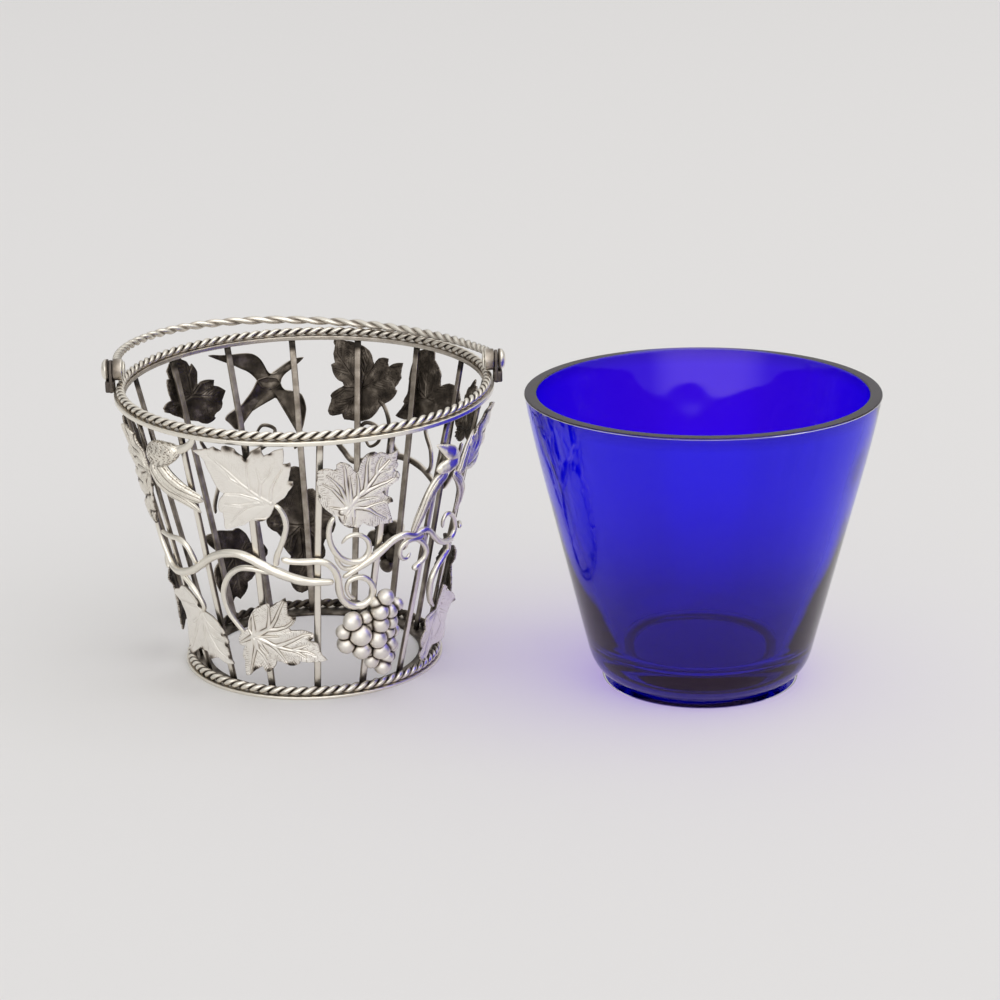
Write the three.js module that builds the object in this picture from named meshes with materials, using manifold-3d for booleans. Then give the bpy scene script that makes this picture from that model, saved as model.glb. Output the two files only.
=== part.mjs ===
// A small open-work silver pail for cream: a cage of flat upright wires between two rope-edged rings,
// dressed with vine leaves, grapes and birds, with a twisted-wire bail and a loose glass liner beside it.
// Millimetres, +Z up, the pail's axis is Z and it stands on Z = 0. The bail's hinge axis is along X.
import * as THREE from "three";
import { mergeVertices } from "three/addons/utils/BufferGeometryUtils.js";
import Module from "manifold-3d";

const wasm = await Module();
wasm.setup();

const DEG = Math.PI / 180;
const TURN = 2 * Math.PI;

// Clearances: between pieces that are soldered or rest on each other, and between a pin and its bore.
const SEAT_GAP = 0.14;
const PIN_GAP = 0.12;

// Rim: a flat ring that the uprights hang from, with a two-strand rope along its outer edge.
const RIM_RADIUS = 38;
const RIM_TOP = 59.3;
const RIM_RING_WIDTH = 2.7;
const RIM_RING_THICK = 0.85;
const RIM_ROPE_RADIUS = 1.1;
const RIM_ROPE_CRESTS = 96;

// Foot: a wider flat ring that the pail stands on, with the same rope on top. Its bore is a little
// narrower than the liner's foot, so that it catches the liner's rounded corner.
const FOOT_RADIUS = 26.4;
const FOOT_RING_WIDTH = 5.5;
const FOOT_RING_THICK = 0.9;
const FOOT_ROPE_RADIUS = 1.05;
const FOOT_ROPE_CRESTS = 66;

// Uprights: flat wires between the rings, leaning outwards and a little round the pail.
const UPRIGHT_COUNT = 16;
const UPRIGHT_WIDTH = 1.35;
const UPRIGHT_THICK = 0.75;
const UPRIGHT_INSET = 1.8;
const UPRIGHT_HEAD_ANGLE = 5.4;
const UPRIGHT_FOOT_ANGLE = 2.2;

// Hinge: an ear outside the rim, a rivet through it and the bail's knuckle.
const PIVOT_RISE = 3.4;
const EAR_THICK = 0.6;
const EAR_RADIUS = 1.9;
const EAR_FOOT_WIDTH = 3.2;
const EAR_FOOT_DEPTH = 1.1;
const EAR_FOOT_HEIGHT = 1.9;
const KNUCKLE_RADIUS = 2.15;
const KNUCKLE_LENGTH = 1.9;
const RIVET_RADIUS = 0.75;
const RIVET_HEAD_RADIUS = 2.1;
const RIVET_HEAD_RISE = 1.5;
const RIVET_TAIL_RADIUS = 1.7;
const RIVET_TAIL_THICK = 0.45;

// Bail: a rope arch that lies back over the rim at rest.
const BAIL_REACH = 39.6;
const BAIL_ROPE_RADIUS = 0.9;
const BAIL_ROPE_CRESTS = 44;
const BAIL_REST_ANGLE = -1.5;

// Vine wires, leaves, birds and grapes. A leaf's length runs from its stalk to its middle tip.
const VINE_RADIUS = 0.62;
const LARGE_LEAF_LENGTH = 16.4;
const MIDDLE_LEAF_LENGTH = 14.2;
const SMALL_LEAF_LENGTH = 12;
const BUD_LEAF_LENGTH = 9.4;
const LEAF_THICK = 0.45;
const LEAF_CURL = 1.5;
const BLADE_SEAT = 0.34;
const BLADE_CROWN = 0.35;
const WING_THICK = 0.55;
const BIRD_RADIUS = 2.4;
const SWALLOW_SPAN = 21;
const BERRY_RADIUS = 1.8;

// Glass liner: a plain tapered tumbler that stands beside the pail, as when the pail is emptied.
// Its wall runs straight up to a shoulder and then a little steeper to the lip.
const LINER_TOP_RADIUS = 34.85;
const LINER_SHOULDER_RADIUS = 33.2;
const LINER_SHOULDER_DROP = 9;
const LINER_BASE_RADIUS = 21.6;
const LINER_HEIGHT = 59;
const LINER_WALL = 2.4;
const LINER_FLOOR = 4.6;
const LINER_CORNER = 2.6;
const LINER_LIP_ROUND = 0.5;
const LINER_PLACE_X = 77.9;
const LINER_PLACE_Y = -17.9;

// Facets round a full turn.
const RING_FACETS = 44;
const LINER_FACETS = 36;
const PIN_FACETS = 12;

// Places that follow from the sizes above.
const rimRopeRing = RIM_RADIUS - RIM_ROPE_RADIUS;
const rimRopeHeight = RIM_TOP - RIM_ROPE_RADIUS;
const rimRingTop = rimRopeHeight - RIM_ROPE_RADIUS - SEAT_GAP;
const rimRingBottom = rimRingTop - RIM_RING_THICK;
const footRopeRing = FOOT_RADIUS - FOOT_ROPE_RADIUS;
const footRopeHeight = FOOT_RING_THICK + SEAT_GAP + FOOT_ROPE_RADIUS;
const uprightTop = rimRingBottom - SEAT_GAP;
const uprightBottom = FOOT_RING_THICK + SEAT_GAP;
const uprightHeight = uprightTop - uprightBottom;
const uprightHeadRadius = RIM_RADIUS - UPRIGHT_INSET;
const leanPerHeight = (RIM_RADIUS - FOOT_RADIUS) / RIM_TOP;
const uprightFootRadius =
  footRopeRing - FOOT_ROPE_RADIUS - SEAT_GAP - UPRIGHT_THICK / 2 - leanPerHeight * FOOT_ROPE_RADIUS * 2;
const pivotHeight = rimRopeHeight + PIVOT_RISE;
const earInner = RIM_RADIUS + SEAT_GAP;
const knuckleOuter = earInner - PIN_GAP;
const knuckleInner = knuckleOuter - KNUCKLE_LENGTH;
const bailHalfWidth = (knuckleOuter + knuckleInner) / 2;

const silver = new THREE.MeshStandardMaterial({ color: 0xe3dfd3, metalness: 1, roughness: 0.28 });
const agedSilver = new THREE.MeshStandardMaterial({ color: 0x8c857a, metalness: 1, roughness: 0.4 });
const cobaltGlass = new THREE.MeshStandardMaterial({ color: 0x1b12c8, metalness: 0, roughness: 0.05 });

const pail = new THREE.Group();

function addPiece(name, geometry, material = silver) {
  const mesh = new THREE.Mesh(geometry, material);
  mesh.name = name;
  pail.add(mesh);
  return mesh;
}

// Closed surfaces made of rings of points, all with the same number of points.
// The rings run along the piece, and each ring's points go round that way left-handed.
function skin(rings, isLoop) {
  const sides = rings[0].length;
  const points = rings.flat();
  const faces = [];
  const spans = isLoop ? rings.length : rings.length - 1;
  for (let i = 0; i < spans; i++) {
    const here = i * sides;
    const next = ((i + 1) % rings.length) * sides;
    for (let j = 0; j < sides; j++) {
      const k = (j + 1) % sides;
      faces.push(here + j, next + j, here + k);
      faces.push(here + k, next + j, next + k);
    }
  }
  if (!isLoop) {
    const last = (rings.length - 1) * sides;
    for (let j = 1; j < sides - 1; j++) {
      faces.push(0, j, j + 1);
      faces.push(last, last + j + 1, last + j);
    }
  }
  return facetted(points, faces);
}

function facetted(points, faces) {
  const geometry = new THREE.BufferGeometry().setFromPoints(points);
  geometry.setIndex(faces);
  return geometry;
}

// A geometry as a solid that can be joined or cut, and back again.
const MERGE_DISTANCE = 1e-4;

function solidOf(geometry) {
  const bare = geometry.clone();
  bare.deleteAttribute("normal");
  bare.deleteAttribute("uv");
  const merged = mergeVertices(bare, MERGE_DISTANCE);
  const mesh = new wasm.Mesh({
    numProp: 3,
    vertProperties: merged.attributes.position.array,
    triVerts: new Uint32Array(merged.index.array),
  });
  return new wasm.Manifold(mesh);
}

function geometryOf(solid) {
  const mesh = solid.getMesh();
  const geometry = new THREE.BufferGeometry();
  geometry.setAttribute("position", new THREE.BufferAttribute(mesh.vertProperties, 3));
  geometry.setIndex(new THREE.BufferAttribute(mesh.triVerts, 1));
  return geometry;
}

function joined(geometries) {
  let whole = solidOf(geometries[0]);
  for (const geometry of geometries.slice(1)) {
    whole = whole.add(solidOf(geometry));
  }
  return geometryOf(whole);
}

// A solid turned about Z from pairs of radius and height that run up the outside and close on themselves.
function turned(profile, facets) {
  const outline = profile.map(([radius, height]) => new THREE.Vector2(radius, height));
  if (profile[0][0] > 0) {
    outline.push(outline[0].clone());
  }
  const geometry = new THREE.LatheGeometry(outline, facets);
  geometry.rotateX(Math.PI / 2);
  return geometry;
}

function flatRing(outer, width, bottom, thick) {
  const inner = outer - width;
  const top = bottom + thick;
  return turned([[inner, bottom], [outer, bottom], [outer, top], [inner, top]], RING_FACETS);
}

// One step of a two-strand rope: six points, three on each strand, in the plane of two unit vectors.
const ROPE_STEPS_PER_CREST = 2;
const ROPE_FLANK_ANGLE = 36;
const ROPE_FLANK_SHARE = 0.92;

function ropeSection(centre, outwards, upwards, radius, twist) {
  const points = [];
  for (const strand of [0, Math.PI]) {
    for (const flank of [-1, 0, 1]) {
      const angle = twist + strand + flank * ROPE_FLANK_ANGLE * DEG;
      const reach = radius * (flank === 0 ? 1 : ROPE_FLANK_SHARE);
      const point = centre.clone();
      point.addScaledVector(outwards, reach * Math.cos(angle));
      point.addScaledVector(upwards, reach * Math.sin(angle));
      points.push(point);
    }
  }
  return points;
}

function ropeRing(ringRadius, height, radius, crests) {
  const steps = crests * ROPE_STEPS_PER_CREST;
  const upwards = new THREE.Vector3(0, 0, 1);
  const rings = [];
  for (let i = 0; i < steps; i++) {
    const azimuth = (TURN * i) / steps;
    const outwards = new THREE.Vector3(Math.cos(azimuth), Math.sin(azimuth), 0);
    const centre = outwards.clone().multiplyScalar(ringRadius);
    centre.z = height;
    rings.push(ropeSection(centre, outwards, upwards, radius, (Math.PI * i) / ROPE_STEPS_PER_CREST));
  }
  return skin(rings, true);
}

// The rings and their ropes.
function addRings() {
  addPiece("foot_plate", flatRing(FOOT_RADIUS, FOOT_RING_WIDTH, 0, FOOT_RING_THICK));
  addPiece("foot_rope", ropeRing(footRopeRing, footRopeHeight, FOOT_ROPE_RADIUS, FOOT_ROPE_CRESTS));
  addPiece("rim_plate", flatRing(RIM_RADIUS, RIM_RING_WIDTH, rimRingBottom, RIM_RING_THICK));
  addPiece("rim_rope", ropeRing(rimRopeRing, rimRopeHeight, RIM_ROPE_RADIUS, RIM_ROPE_CRESTS));
}

// A point on or off the cone that the uprights' outer faces lie on: degrees round, share of the
// uprights' height, and distance outwards.
function onCage(azimuth, heightShare, standoff) {
  const middle = THREE.MathUtils.lerp(uprightFootRadius, uprightHeadRadius, heightShare);
  const radius = middle + UPRIGHT_THICK / 2 + standoff;
  const height = uprightBottom + heightShare * uprightHeight;
  return new THREE.Vector3(radius * Math.cos(azimuth * DEG), radius * Math.sin(azimuth * DEG), height);
}

// Uprights: a flat section with its two outer corners eased, level at both ends.
const UPRIGHT_EASE_SHARE = 0.3;

function uprightSection(radius, azimuth, height) {
  const half = UPRIGHT_WIDTH / 2;
  const ease = UPRIGHT_WIDTH * UPRIGHT_EASE_SHARE;
  const outline = [
    [-half, -UPRIGHT_THICK / 2],
    [half, -UPRIGHT_THICK / 2],
    [half, 0],
    [half - ease, UPRIGHT_THICK / 2],
    [ease - half, UPRIGHT_THICK / 2],
    [-half, 0],
  ];
  const outwards = new THREE.Vector3(Math.cos(azimuth * DEG), Math.sin(azimuth * DEG), 0);
  const sideways = new THREE.Vector3(-outwards.y, outwards.x, 0);
  return outline.map(([along, out]) => {
    const point = outwards.clone().multiplyScalar(radius + out);
    point.addScaledVector(sideways, along);
    point.z = height;
    return point;
  });
}

function addUprights() {
  for (let i = 0; i < UPRIGHT_COUNT; i++) {
    const step = (360 / UPRIGHT_COUNT) * i;
    const foot = uprightSection(uprightFootRadius, step + UPRIGHT_FOOT_ANGLE, uprightBottom);
    const head = uprightSection(uprightHeadRadius, step + UPRIGHT_HEAD_ANGLE, uprightTop);
    addPiece("upright_" + String(i + 1).padStart(2, "0"), skin([foot, head], false));
  }
}

// Hinge pieces are drawn on the right, at +X, and turned half round for the left.
const HINGE_SIDES = [["right", 0], ["left", Math.PI]];

function onBothSides(name, makeGeometry, material) {
  for (const [side, turn] of HINGE_SIDES) {
    addPiece(name + "_" + side, makeGeometry().rotateZ(turn), material);
  }
}

// A solid turned about the hinge's axis from pairs of radius and distance along X.
function turnedOnPivot(profile) {
  const outline = profile.map(([radius, along]) => new THREE.Vector2(radius, along));
  if (profile[0][0] > 0) {
    outline.push(outline[0].clone());
  }
  const geometry = new THREE.LatheGeometry(outline, PIN_FACETS);
  geometry.rotateZ(-Math.PI / 2);
  geometry.translate(0, 0, pivotHeight);
  return geometry;
}

// Ear: a plate with a round top and a bore for the rivet, on a foot block that sits against the rim.
function ear() {
  const bottom = rimRingBottom - pivotHeight;
  const outline = new THREE.Shape();
  outline.moveTo(-EAR_FOOT_WIDTH / 2, bottom);
  outline.lineTo(EAR_FOOT_WIDTH / 2, bottom);
  outline.absarc(0, 0, EAR_RADIUS, 0, Math.PI, false);
  outline.closePath();
  outline.holes.push(new THREE.Path().absarc(0, 0, RIVET_RADIUS + PIN_GAP, 0, TURN, true));
  const plate = new THREE.ExtrudeGeometry(outline, {
    depth: EAR_THICK,
    bevelEnabled: false,
    curveSegments: PIN_FACETS / 2,
  });
  const block = new THREE.BoxGeometry(EAR_FOOT_WIDTH, EAR_FOOT_HEIGHT, EAR_FOOT_DEPTH);
  block.translate(0, bottom + EAR_FOOT_HEIGHT / 2, EAR_FOOT_DEPTH / 2);
  const sideways = new THREE.Vector3(0, 1, 0);
  const upwards = new THREE.Vector3(0, 0, 1);
  const outwards = new THREE.Vector3(1, 0, 0);
  const whole = joined([plate, block]);
  whole.applyMatrix4(new THREE.Matrix4().makeBasis(sideways, upwards, outwards));
  return whole.translate(earInner, 0, pivotHeight);
}

// Rivet: a domed head outside the ear, a shank, and a tail hammered flat inside the knuckle.
const RIVET_HEAD_EDGE_SHARE = 0.28;
const RIVET_DOME_STEPS = 3;

function rivet() {
  const tailOuter = knuckleInner - PIN_GAP;
  const tailInner = tailOuter - RIVET_TAIL_THICK;
  const headInner = earInner + EAR_THICK + SEAT_GAP;
  const edge = RIVET_HEAD_RISE * RIVET_HEAD_EDGE_SHARE;
  const profile = [
    [0, tailInner],
    [RIVET_TAIL_RADIUS, tailInner],
    [RIVET_TAIL_RADIUS, tailOuter],
    [RIVET_RADIUS, tailOuter],
    [RIVET_RADIUS, headInner],
    [RIVET_HEAD_RADIUS, headInner],
  ];
  for (let i = 0; i < RIVET_DOME_STEPS; i++) {
    const angle = (Math.PI / 2) * (i / RIVET_DOME_STEPS);
    const rise = edge + (RIVET_HEAD_RISE - edge) * Math.sin(angle);
    profile.push([RIVET_HEAD_RADIUS * Math.cos(angle), headInner + rise]);
  }
  profile.push([0, headInner + RIVET_HEAD_RISE]);
  return turnedOnPivot(profile);
}

function knuckle() {
  const bore = RIVET_RADIUS + PIN_GAP;
  return turnedOnPivot([
    [bore, knuckleInner],
    [KNUCKLE_RADIUS, knuckleInner],
    [KNUCKLE_RADIUS, knuckleOuter],
    [bore, knuckleOuter],
  ]);
}

// Bail: the rope follows half an oval from one knuckle to the other.
function bailRope() {
  const backwards = new THREE.Vector3(0, Math.cos(BAIL_REST_ANGLE * DEG), Math.sin(BAIL_REST_ANGLE * DEG));
  const upwards = new THREE.Vector3(0, -backwards.z, backwards.y);
  const start = Math.asin((KNUCKLE_RADIUS + SEAT_GAP) / BAIL_REACH);
  const steps = BAIL_ROPE_CRESTS * ROPE_STEPS_PER_CREST;
  const rings = [];
  for (let i = 0; i <= steps; i++) {
    const angle = start + (Math.PI - 2 * start) * (i / steps);
    const centre = new THREE.Vector3(bailHalfWidth * Math.cos(angle), 0, pivotHeight);
    centre.addScaledVector(backwards, BAIL_REACH * Math.sin(angle));
    const outwards = new THREE.Vector3(BAIL_REACH * Math.cos(angle), 0, 0);
    outwards.addScaledVector(backwards, bailHalfWidth * Math.sin(angle)).normalize();
    rings.push(ropeSection(centre, outwards, upwards, BAIL_ROPE_RADIUS, (Math.PI * i) / ROPE_STEPS_PER_CREST));
  }
  return skin(rings, false);
}

function addHinges() {
  onBothSides("ear", ear, agedSilver);
  onBothSides("rivet", rivet, silver);
  onBothSides("bail_knuckle", knuckle, silver);
  addPiece("bail_rope", bailRope());
}

// A wire or a body that lies on the uprights. Its route is a list of places on the cage: degrees
// round, share of the uprights' height, and its radius there as a share of its own size. A fourth
// number lifts it outwards by that many times its size, where it passes over another wire.
const WIRE_SIDES = 5;
const WIRE_STEP_SHARE = 3.3;
const CURVE_DIVISIONS = 20;

function alongCage(route, size, sides, flatShare = 1) {
  const middleRadius = (uprightHeadRadius + uprightFootRadius) / 2;
  const flat = route.map(([azimuth, share]) => {
    return new THREE.Vector3(azimuth * DEG * middleRadius, share * uprightHeight, 0);
  });
  const curve = new THREE.CatmullRomCurve3(flat, false, "centripetal");
  const steps = Math.max(route.length, Math.round(curve.getLength() / (size * WIRE_STEP_SHARE)));
  const curvePoints = curve.getSpacedPoints(steps);
  const lengths = curve.getLengths((route.length - 1) * CURVE_DIVISIONS);
  const knots = route.map((place, i) => lengths[i * CURVE_DIVISIONS] / curve.getLength());
  const centres = [];
  const radii = [];
  curvePoints.forEach((point, i) => {
    const radius = size * between(knots, route.map((place) => place[2]), i / steps);
    const lift = size * between(knots, route.map((place) => place[3] ?? 0), i / steps);
    radii.push(radius);
    const azimuth = point.x / middleRadius / DEG;
    centres.push(onCage(azimuth, point.y / uprightHeight, SEAT_GAP + radius * flatShare + lift));
  });
  const rings = centres.map((centre, i) => {
    const before = centres[Math.max(i - 1, 0)];
    const after = centres[Math.min(i + 1, steps)];
    const onwards = after.clone().sub(before).normalize();
    const outwards = new THREE.Vector3(centre.x, centre.y, 0).normalize();
    outwards.addScaledVector(onwards, -outwards.dot(onwards)).normalize();
    const sideways = new THREE.Vector3().crossVectors(outwards, onwards);
    return ovalSection(centre, outwards, sideways, radii[i] * flatShare, radii[i], sides);
  });
  return skin(rings, false);
}

function ovalSection(centre, outwards, sideways, deep, wide, sides) {
  const points = [];
  for (let j = 0; j < sides; j++) {
    const angle = (TURN * j) / sides;
    const point = centre.clone();
    point.addScaledVector(outwards, deep * Math.cos(angle));
    point.addScaledVector(sideways, wide * Math.sin(angle));
    points.push(point);
  }
  return points;
}

// Straight steps between the values at the knots.
function between(knots, values, at) {
  let i = 1;
  while (i < knots.length - 1 && at > knots[i]) {
    i++;
  }
  const share = (at - knots[i - 1]) / (knots[i] - knots[i - 1]);
  return THREE.MathUtils.lerp(values[i - 1], values[i], share);
}

// The vine's wires, each a list of branches that are soldered into one piece.
const VINE_ROUTE_SHARES = {
  vine_front: [
    [[178, 0.62, 0.6], [183, 0.59, 0.7], [189, 0.49, 0.8], [195, 0.4, 0.95], [207, 0.395, 1],
      [218, 0.434, 1.05], [231.4, 0.52, 1.15], [240.6, 0.553, 1.2], [250.3, 0.543, 1.3],
      [259.1, 0.518, 1.4], [266.6, 0.478, 1.4], [273.8, 0.455, 1.2], [279.5, 0.451, 0.9]],
    [[193, 0.575, 0.5], [203, 0.545, 0.7], [213, 0.565, 0.75], [220, 0.55, 0.75], [224.5, 0.5, 0.7],
      [229, 0.5, 0.6]],
    [[258, 0.505, 0.9], [261.5, 0.6, 0.8], [263.4, 0.68, 0.75], [262.6, 0.735, 0.7], [260.9, 0.75, 0.6]],
    [[259, 0.51, 0.9], [263, 0.54, 0.85], [270, 0.543, 0.85], [276.8, 0.54, 0.85], [281.1, 0.491, 0.9],
      [281.7, 0.423, 0.95], [285.1, 0.363, 1], [290.7, 0.347, 1], [295, 0.375, 0.95],
      [294.2, 0.428, 0.9], [289.5, 0.445, 0.8], [286, 0.42, 0.5]],
    [[262, 0.485, 0.8], [250.7, 0.503, 0.75], [242.6, 0.485, 0.8], [236.6, 0.42, 0.8],
      [236.4, 0.351, 0.75], [241, 0.275, 0.7]],
  ],
  tendril_front: [
    [[279.2, 0.695, 0.6], [278.4, 0.636, 0.75], [280.8, 0.573, 0.85, 0], [285.4, 0.53, 0.85, 2],
      [290.3, 0.528, 0.8, 2.2], [292.6, 0.563, 0.7, 0.6], [290.4, 0.606, 0.65], [286.2, 0.62, 0.6],
      [283, 0.6, 0.45]],
  ],
  vine_right: [
    [[284.2, 0.478, 0.6], [288, 0.5, 0.8], [294.8, 0.548, 0.85], [302, 0.585, 0.85], [309, 0.59, 0.8],
      [316.5, 0.57, 0.8], [322, 0.525, 0.8], [329, 0.49, 0.8], [338, 0.47, 0.85], [347, 0.475, 0.85],
      [351.5, 0.525, 0.8], [347, 0.585, 0.75], [338, 0.595, 0.7], [334, 0.555, 0.6], [338.5, 0.525, 0.5]],
  ],
  tendril_right: [
    [[309.5, 0.555, 0.5], [306.4, 0.52, 0.7], [308.5, 0.473, 0.75], [314, 0.45, 0.8], [320.2, 0.465, 0.8],
      [322, 0.487, 0.6], [319.5, 0.52, 0.6], [314.4, 0.53, 0.5], [312.5, 0.5, 0.4]],
  ],
  vine_low_left: [[[213.7, 0.386, 0.8], [218.5, 0.37, 0.75], [220.6, 0.345, 0.7], [220.4, 0.322, 0.6]]],
  vine_low_right: [
    [[349, 0.436, 0.6], [341, 0.41, 0.8], [334, 0.37, 1], [332, 0.31, 0.9], [333.5, 0.265, 0.6]],
  ],
  vine_back: [
    [[31.5, 0.505, 0.8], [36.5, 0.54, 0.9], [45.9, 0.578, 1], [54.9, 0.59, 1.05], [66, 0.565, 1.05],
      [74, 0.555, 1], [78, 0.595, 0.9], [82, 0.638, 0.85], [88, 0.652, 0.8], [94, 0.64, 0.75],
      [96.6, 0.6, 0.6]],
    [[43.6, 0.76, 0.55], [43, 0.706, 0.65], [38.5, 0.633, 0.7], [37.6, 0.58, 0.7], [40, 0.55, 0.7]],
    [[64.7, 0.79, 0.55], [62.5, 0.77, 0.65], [60.3, 0.724, 0.7], [58.8, 0.654, 0.7], [54, 0.59, 0.7]],
    [[55, 0.585, 0.7], [61, 0.5, 0.65], [61.5, 0.43, 0.6], [57.5, 0.365, 0.5]],
  ],
  tendril_back: [
    [[72.5, 0.6, 0.6], [72.8, 0.65, 0.65], [69.5, 0.7, 0.65], [64.6, 0.69, 0.6], [63.4, 0.64, 0.55],
      [67, 0.615, 0.5], [69.3, 0.645, 0.4]],
  ],
  vine_back_left: [
    [[134.5, 0.69, 0.55], [131, 0.63, 0.7], [124, 0.585, 0.8], [114, 0.6, 0.8], [106, 0.635, 0.7],
      [103.5, 0.68, 0.6], [108, 0.7, 0.55], [111, 0.67, 0.4]],
    [[126, 0.59, 0.75], [129, 0.52, 0.7], [133.5, 0.44, 0.65], [134, 0.41, 0.55]],
  ],
  vine_left_low: [[[190, 0.37, 0.7], [183, 0.385, 0.75], [178, 0.37, 0.7], [176.2, 0.343, 0.6]]],
  vine_right_side: [[[357, 0.47, 0.7], [2, 0.47, 0.75], [8, 0.43, 0.7], [9, 0.375, 0.6]]],
  vine_right_high: [[[28.3, 0.525, 0.8], [24, 0.575, 0.75], [20.5, 0.65, 0.7], [19.4, 0.725, 0.55]]],
};

function addVines() {
  for (const [name, branches] of Object.entries(VINE_ROUTE_SHARES)) {
    const tubes = branches.map((route) => alongCage(unwrapped(route), VINE_RADIUS, WIRE_SIDES));
    addPiece(name, tubes.length > 1 ? joined(tubes) : tubes[0]);
  }
}

// Angles that cross the +X axis run on past a full turn.
function unwrapped(route) {
  let turns = 0;
  return route.map(([azimuth, ...rest], i) => {
    if (i > 0 && route[i - 1][0] - azimuth > 180) {
      turns += 360;
    }
    return [azimuth + turns, ...rest];
  });
}

// A thin blade on the cage: its edge and, halfway in, a second ring of points round its middle.
// Each place is degrees round, share of the uprights' height, and distance of the inner face outwards.
function blade(middle, edge, thick) {
  const half = edge.filter((place, i) => i % 2 === 0).map(([azimuth, share]) => [
    (middle[0] + azimuth) / 2,
    (middle[1] + share) / 2,
    BLADE_SEAT,
  ]);
  const places = [...edge, ...half, middle];
  const inner = places.map(([azimuth, share, out]) => onCage(azimuth, share, out));
  const outer = places.map(([azimuth, share, out]) => onCage(azimuth, share, out + thick));
  const count = edge.length;
  const centre = places.length - 1;
  const faces = [];
  for (let m = 0; m < half.length; m++) {
    const here = count + m;
    const next = count + ((m + 1) % half.length);
    const [first, tooth, last] = [2 * m, 2 * m + 1, (2 * m + 2) % count];
    const face = [first, here, tooth, tooth, here, next, tooth, next, last, here, centre, next];
    faces.push(...face);
    for (let i = 0; i < face.length; i += 3) {
      faces.push(...[face[i], face[i + 2], face[i + 1]].map((corner) => corner + places.length));
    }
  }
  for (let i = 0; i < count; i++) {
    const j = (i + 1) % count;
    faces.push(i, j, places.length + j, i, places.length + j, places.length + i);
  }
  return facetted([...inner, ...outer], faces);
}

// Vine leaf: five pointed lobes round the place where the stalk joins, each with two shoulders.
const LEAF_SAMPLES = 28;
const LEAF_SAMPLES_PER_LOBE = 4;
const LEAF_FLANK_SHARES = [1, 0.78, 0.62, 0.5, 0.34, 0.16];
const LEAF_NECK_SHARE = 0.11;

function leaf([azimuth, heightShare, heading, length, lobeShares]) {
  const height = heightShare * uprightHeight;
  const edge = [];
  for (let i = 0; i < LEAF_SAMPLES; i++) {
    const step = i - LEAF_SAMPLES / 2;
    const reachShares = lobeShares.map((share, lobe) => {
      const flank = Math.abs(step - (lobe - 2) * LEAF_SAMPLES_PER_LOBE);
      return share * (LEAF_FLANK_SHARES[flank] ?? 0);
    });
    const reachShare = Math.max(LEAF_NECK_SHARE, ...reachShares);
    const angle = (heading + (360 * step) / LEAF_SAMPLES) * DEG;
    const along = length * reachShare * Math.cos(angle);
    const up = length * reachShare * Math.sin(angle);
    const share = (height + up) / uprightHeight;
    const radius = onCage(0, share, 0).x;
    const curl = LEAF_CURL * reachShare * reachShare;
    edge.push([azimuth + along / radius / DEG, share, BLADE_SEAT + curl]);
  }
  return blade([azimuth, heightShare, BLADE_SEAT + BLADE_CROWN], edge, LEAF_THICK);
}

// Each leaf: degrees round, height share of the stalk's joint, heading of its middle lobe in degrees
// from level, its length, and the reach of its five lobes as shares of that length.
const LEAF_PLACE_SHARES = {
  leaf_front_left: [257.8, 0.767, 141, LARGE_LEAF_LENGTH, [0.5, 0.66, 1, 0.6, 0.52]],
  leaf_front_right: [283.6, 0.729, 51, LARGE_LEAF_LENGTH, [0.42, 0.62, 1, 0.62, 0.5]],
  leaf_front_low: [245.6, 0.222, -17, MIDDLE_LEAF_LENGTH, [0.52, 0.55, 1, 0.68, 0.45]],
  leaf_left_low: [219.3, 0.278, -105, SMALL_LEAF_LENGTH, [0.55, 0.75, 0.9, 1, 0.5]],
  leaf_right_low: [334.5, 0.225, -82, BUD_LEAF_LENGTH, [0.75, 0.8, 0.85, 0.8, 0.8]],
  leaf_back_left_high: [135, 0.742, 90, MIDDLE_LEAF_LENGTH, [0.5, 0.62, 1, 0.82, 0.55]],
  leaf_back_right_high: [66.7, 0.82, 51, MIDDLE_LEAF_LENGTH, [0.58, 0.82, 0.92, 0.7, 0.55]],
  leaf_right_back_high: [43.5, 0.808, 84, SMALL_LEAF_LENGTH, [0.7, 0.6, 0.8, 0.68, 0.5]],
  leaf_right_high: [19, 0.775, 72, BUD_LEAF_LENGTH, [0.6, 0.75, 1, 0.7, 0.6]],
  leaf_back_left_low: [134, 0.36, -90, MIDDLE_LEAF_LENGTH, [0.5, 0.7, 1, 0.7, 0.5]],
  leaf_back_low: [96.5, 0.56, -92, LARGE_LEAF_LENGTH, [0.5, 0.6, 1.1, 0.6, 0.5]],
  leaf_left_side: [176, 0.3, -92, SMALL_LEAF_LENGTH, [0.55, 0.7, 1, 0.7, 0.55]],
  leaf_left_high: [174, 0.71, 96, SMALL_LEAF_LENGTH, [0.55, 0.7, 1, 0.7, 0.55]],
  leaf_right_side: [9, 0.33, -86, SMALL_LEAF_LENGTH, [0.55, 0.72, 1, 0.7, 0.55]],
};

function addLeaves() {
  for (const [name, place] of Object.entries(LEAF_PLACE_SHARES)) {
    addPiece(name, leaf(place));
  }
}

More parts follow.
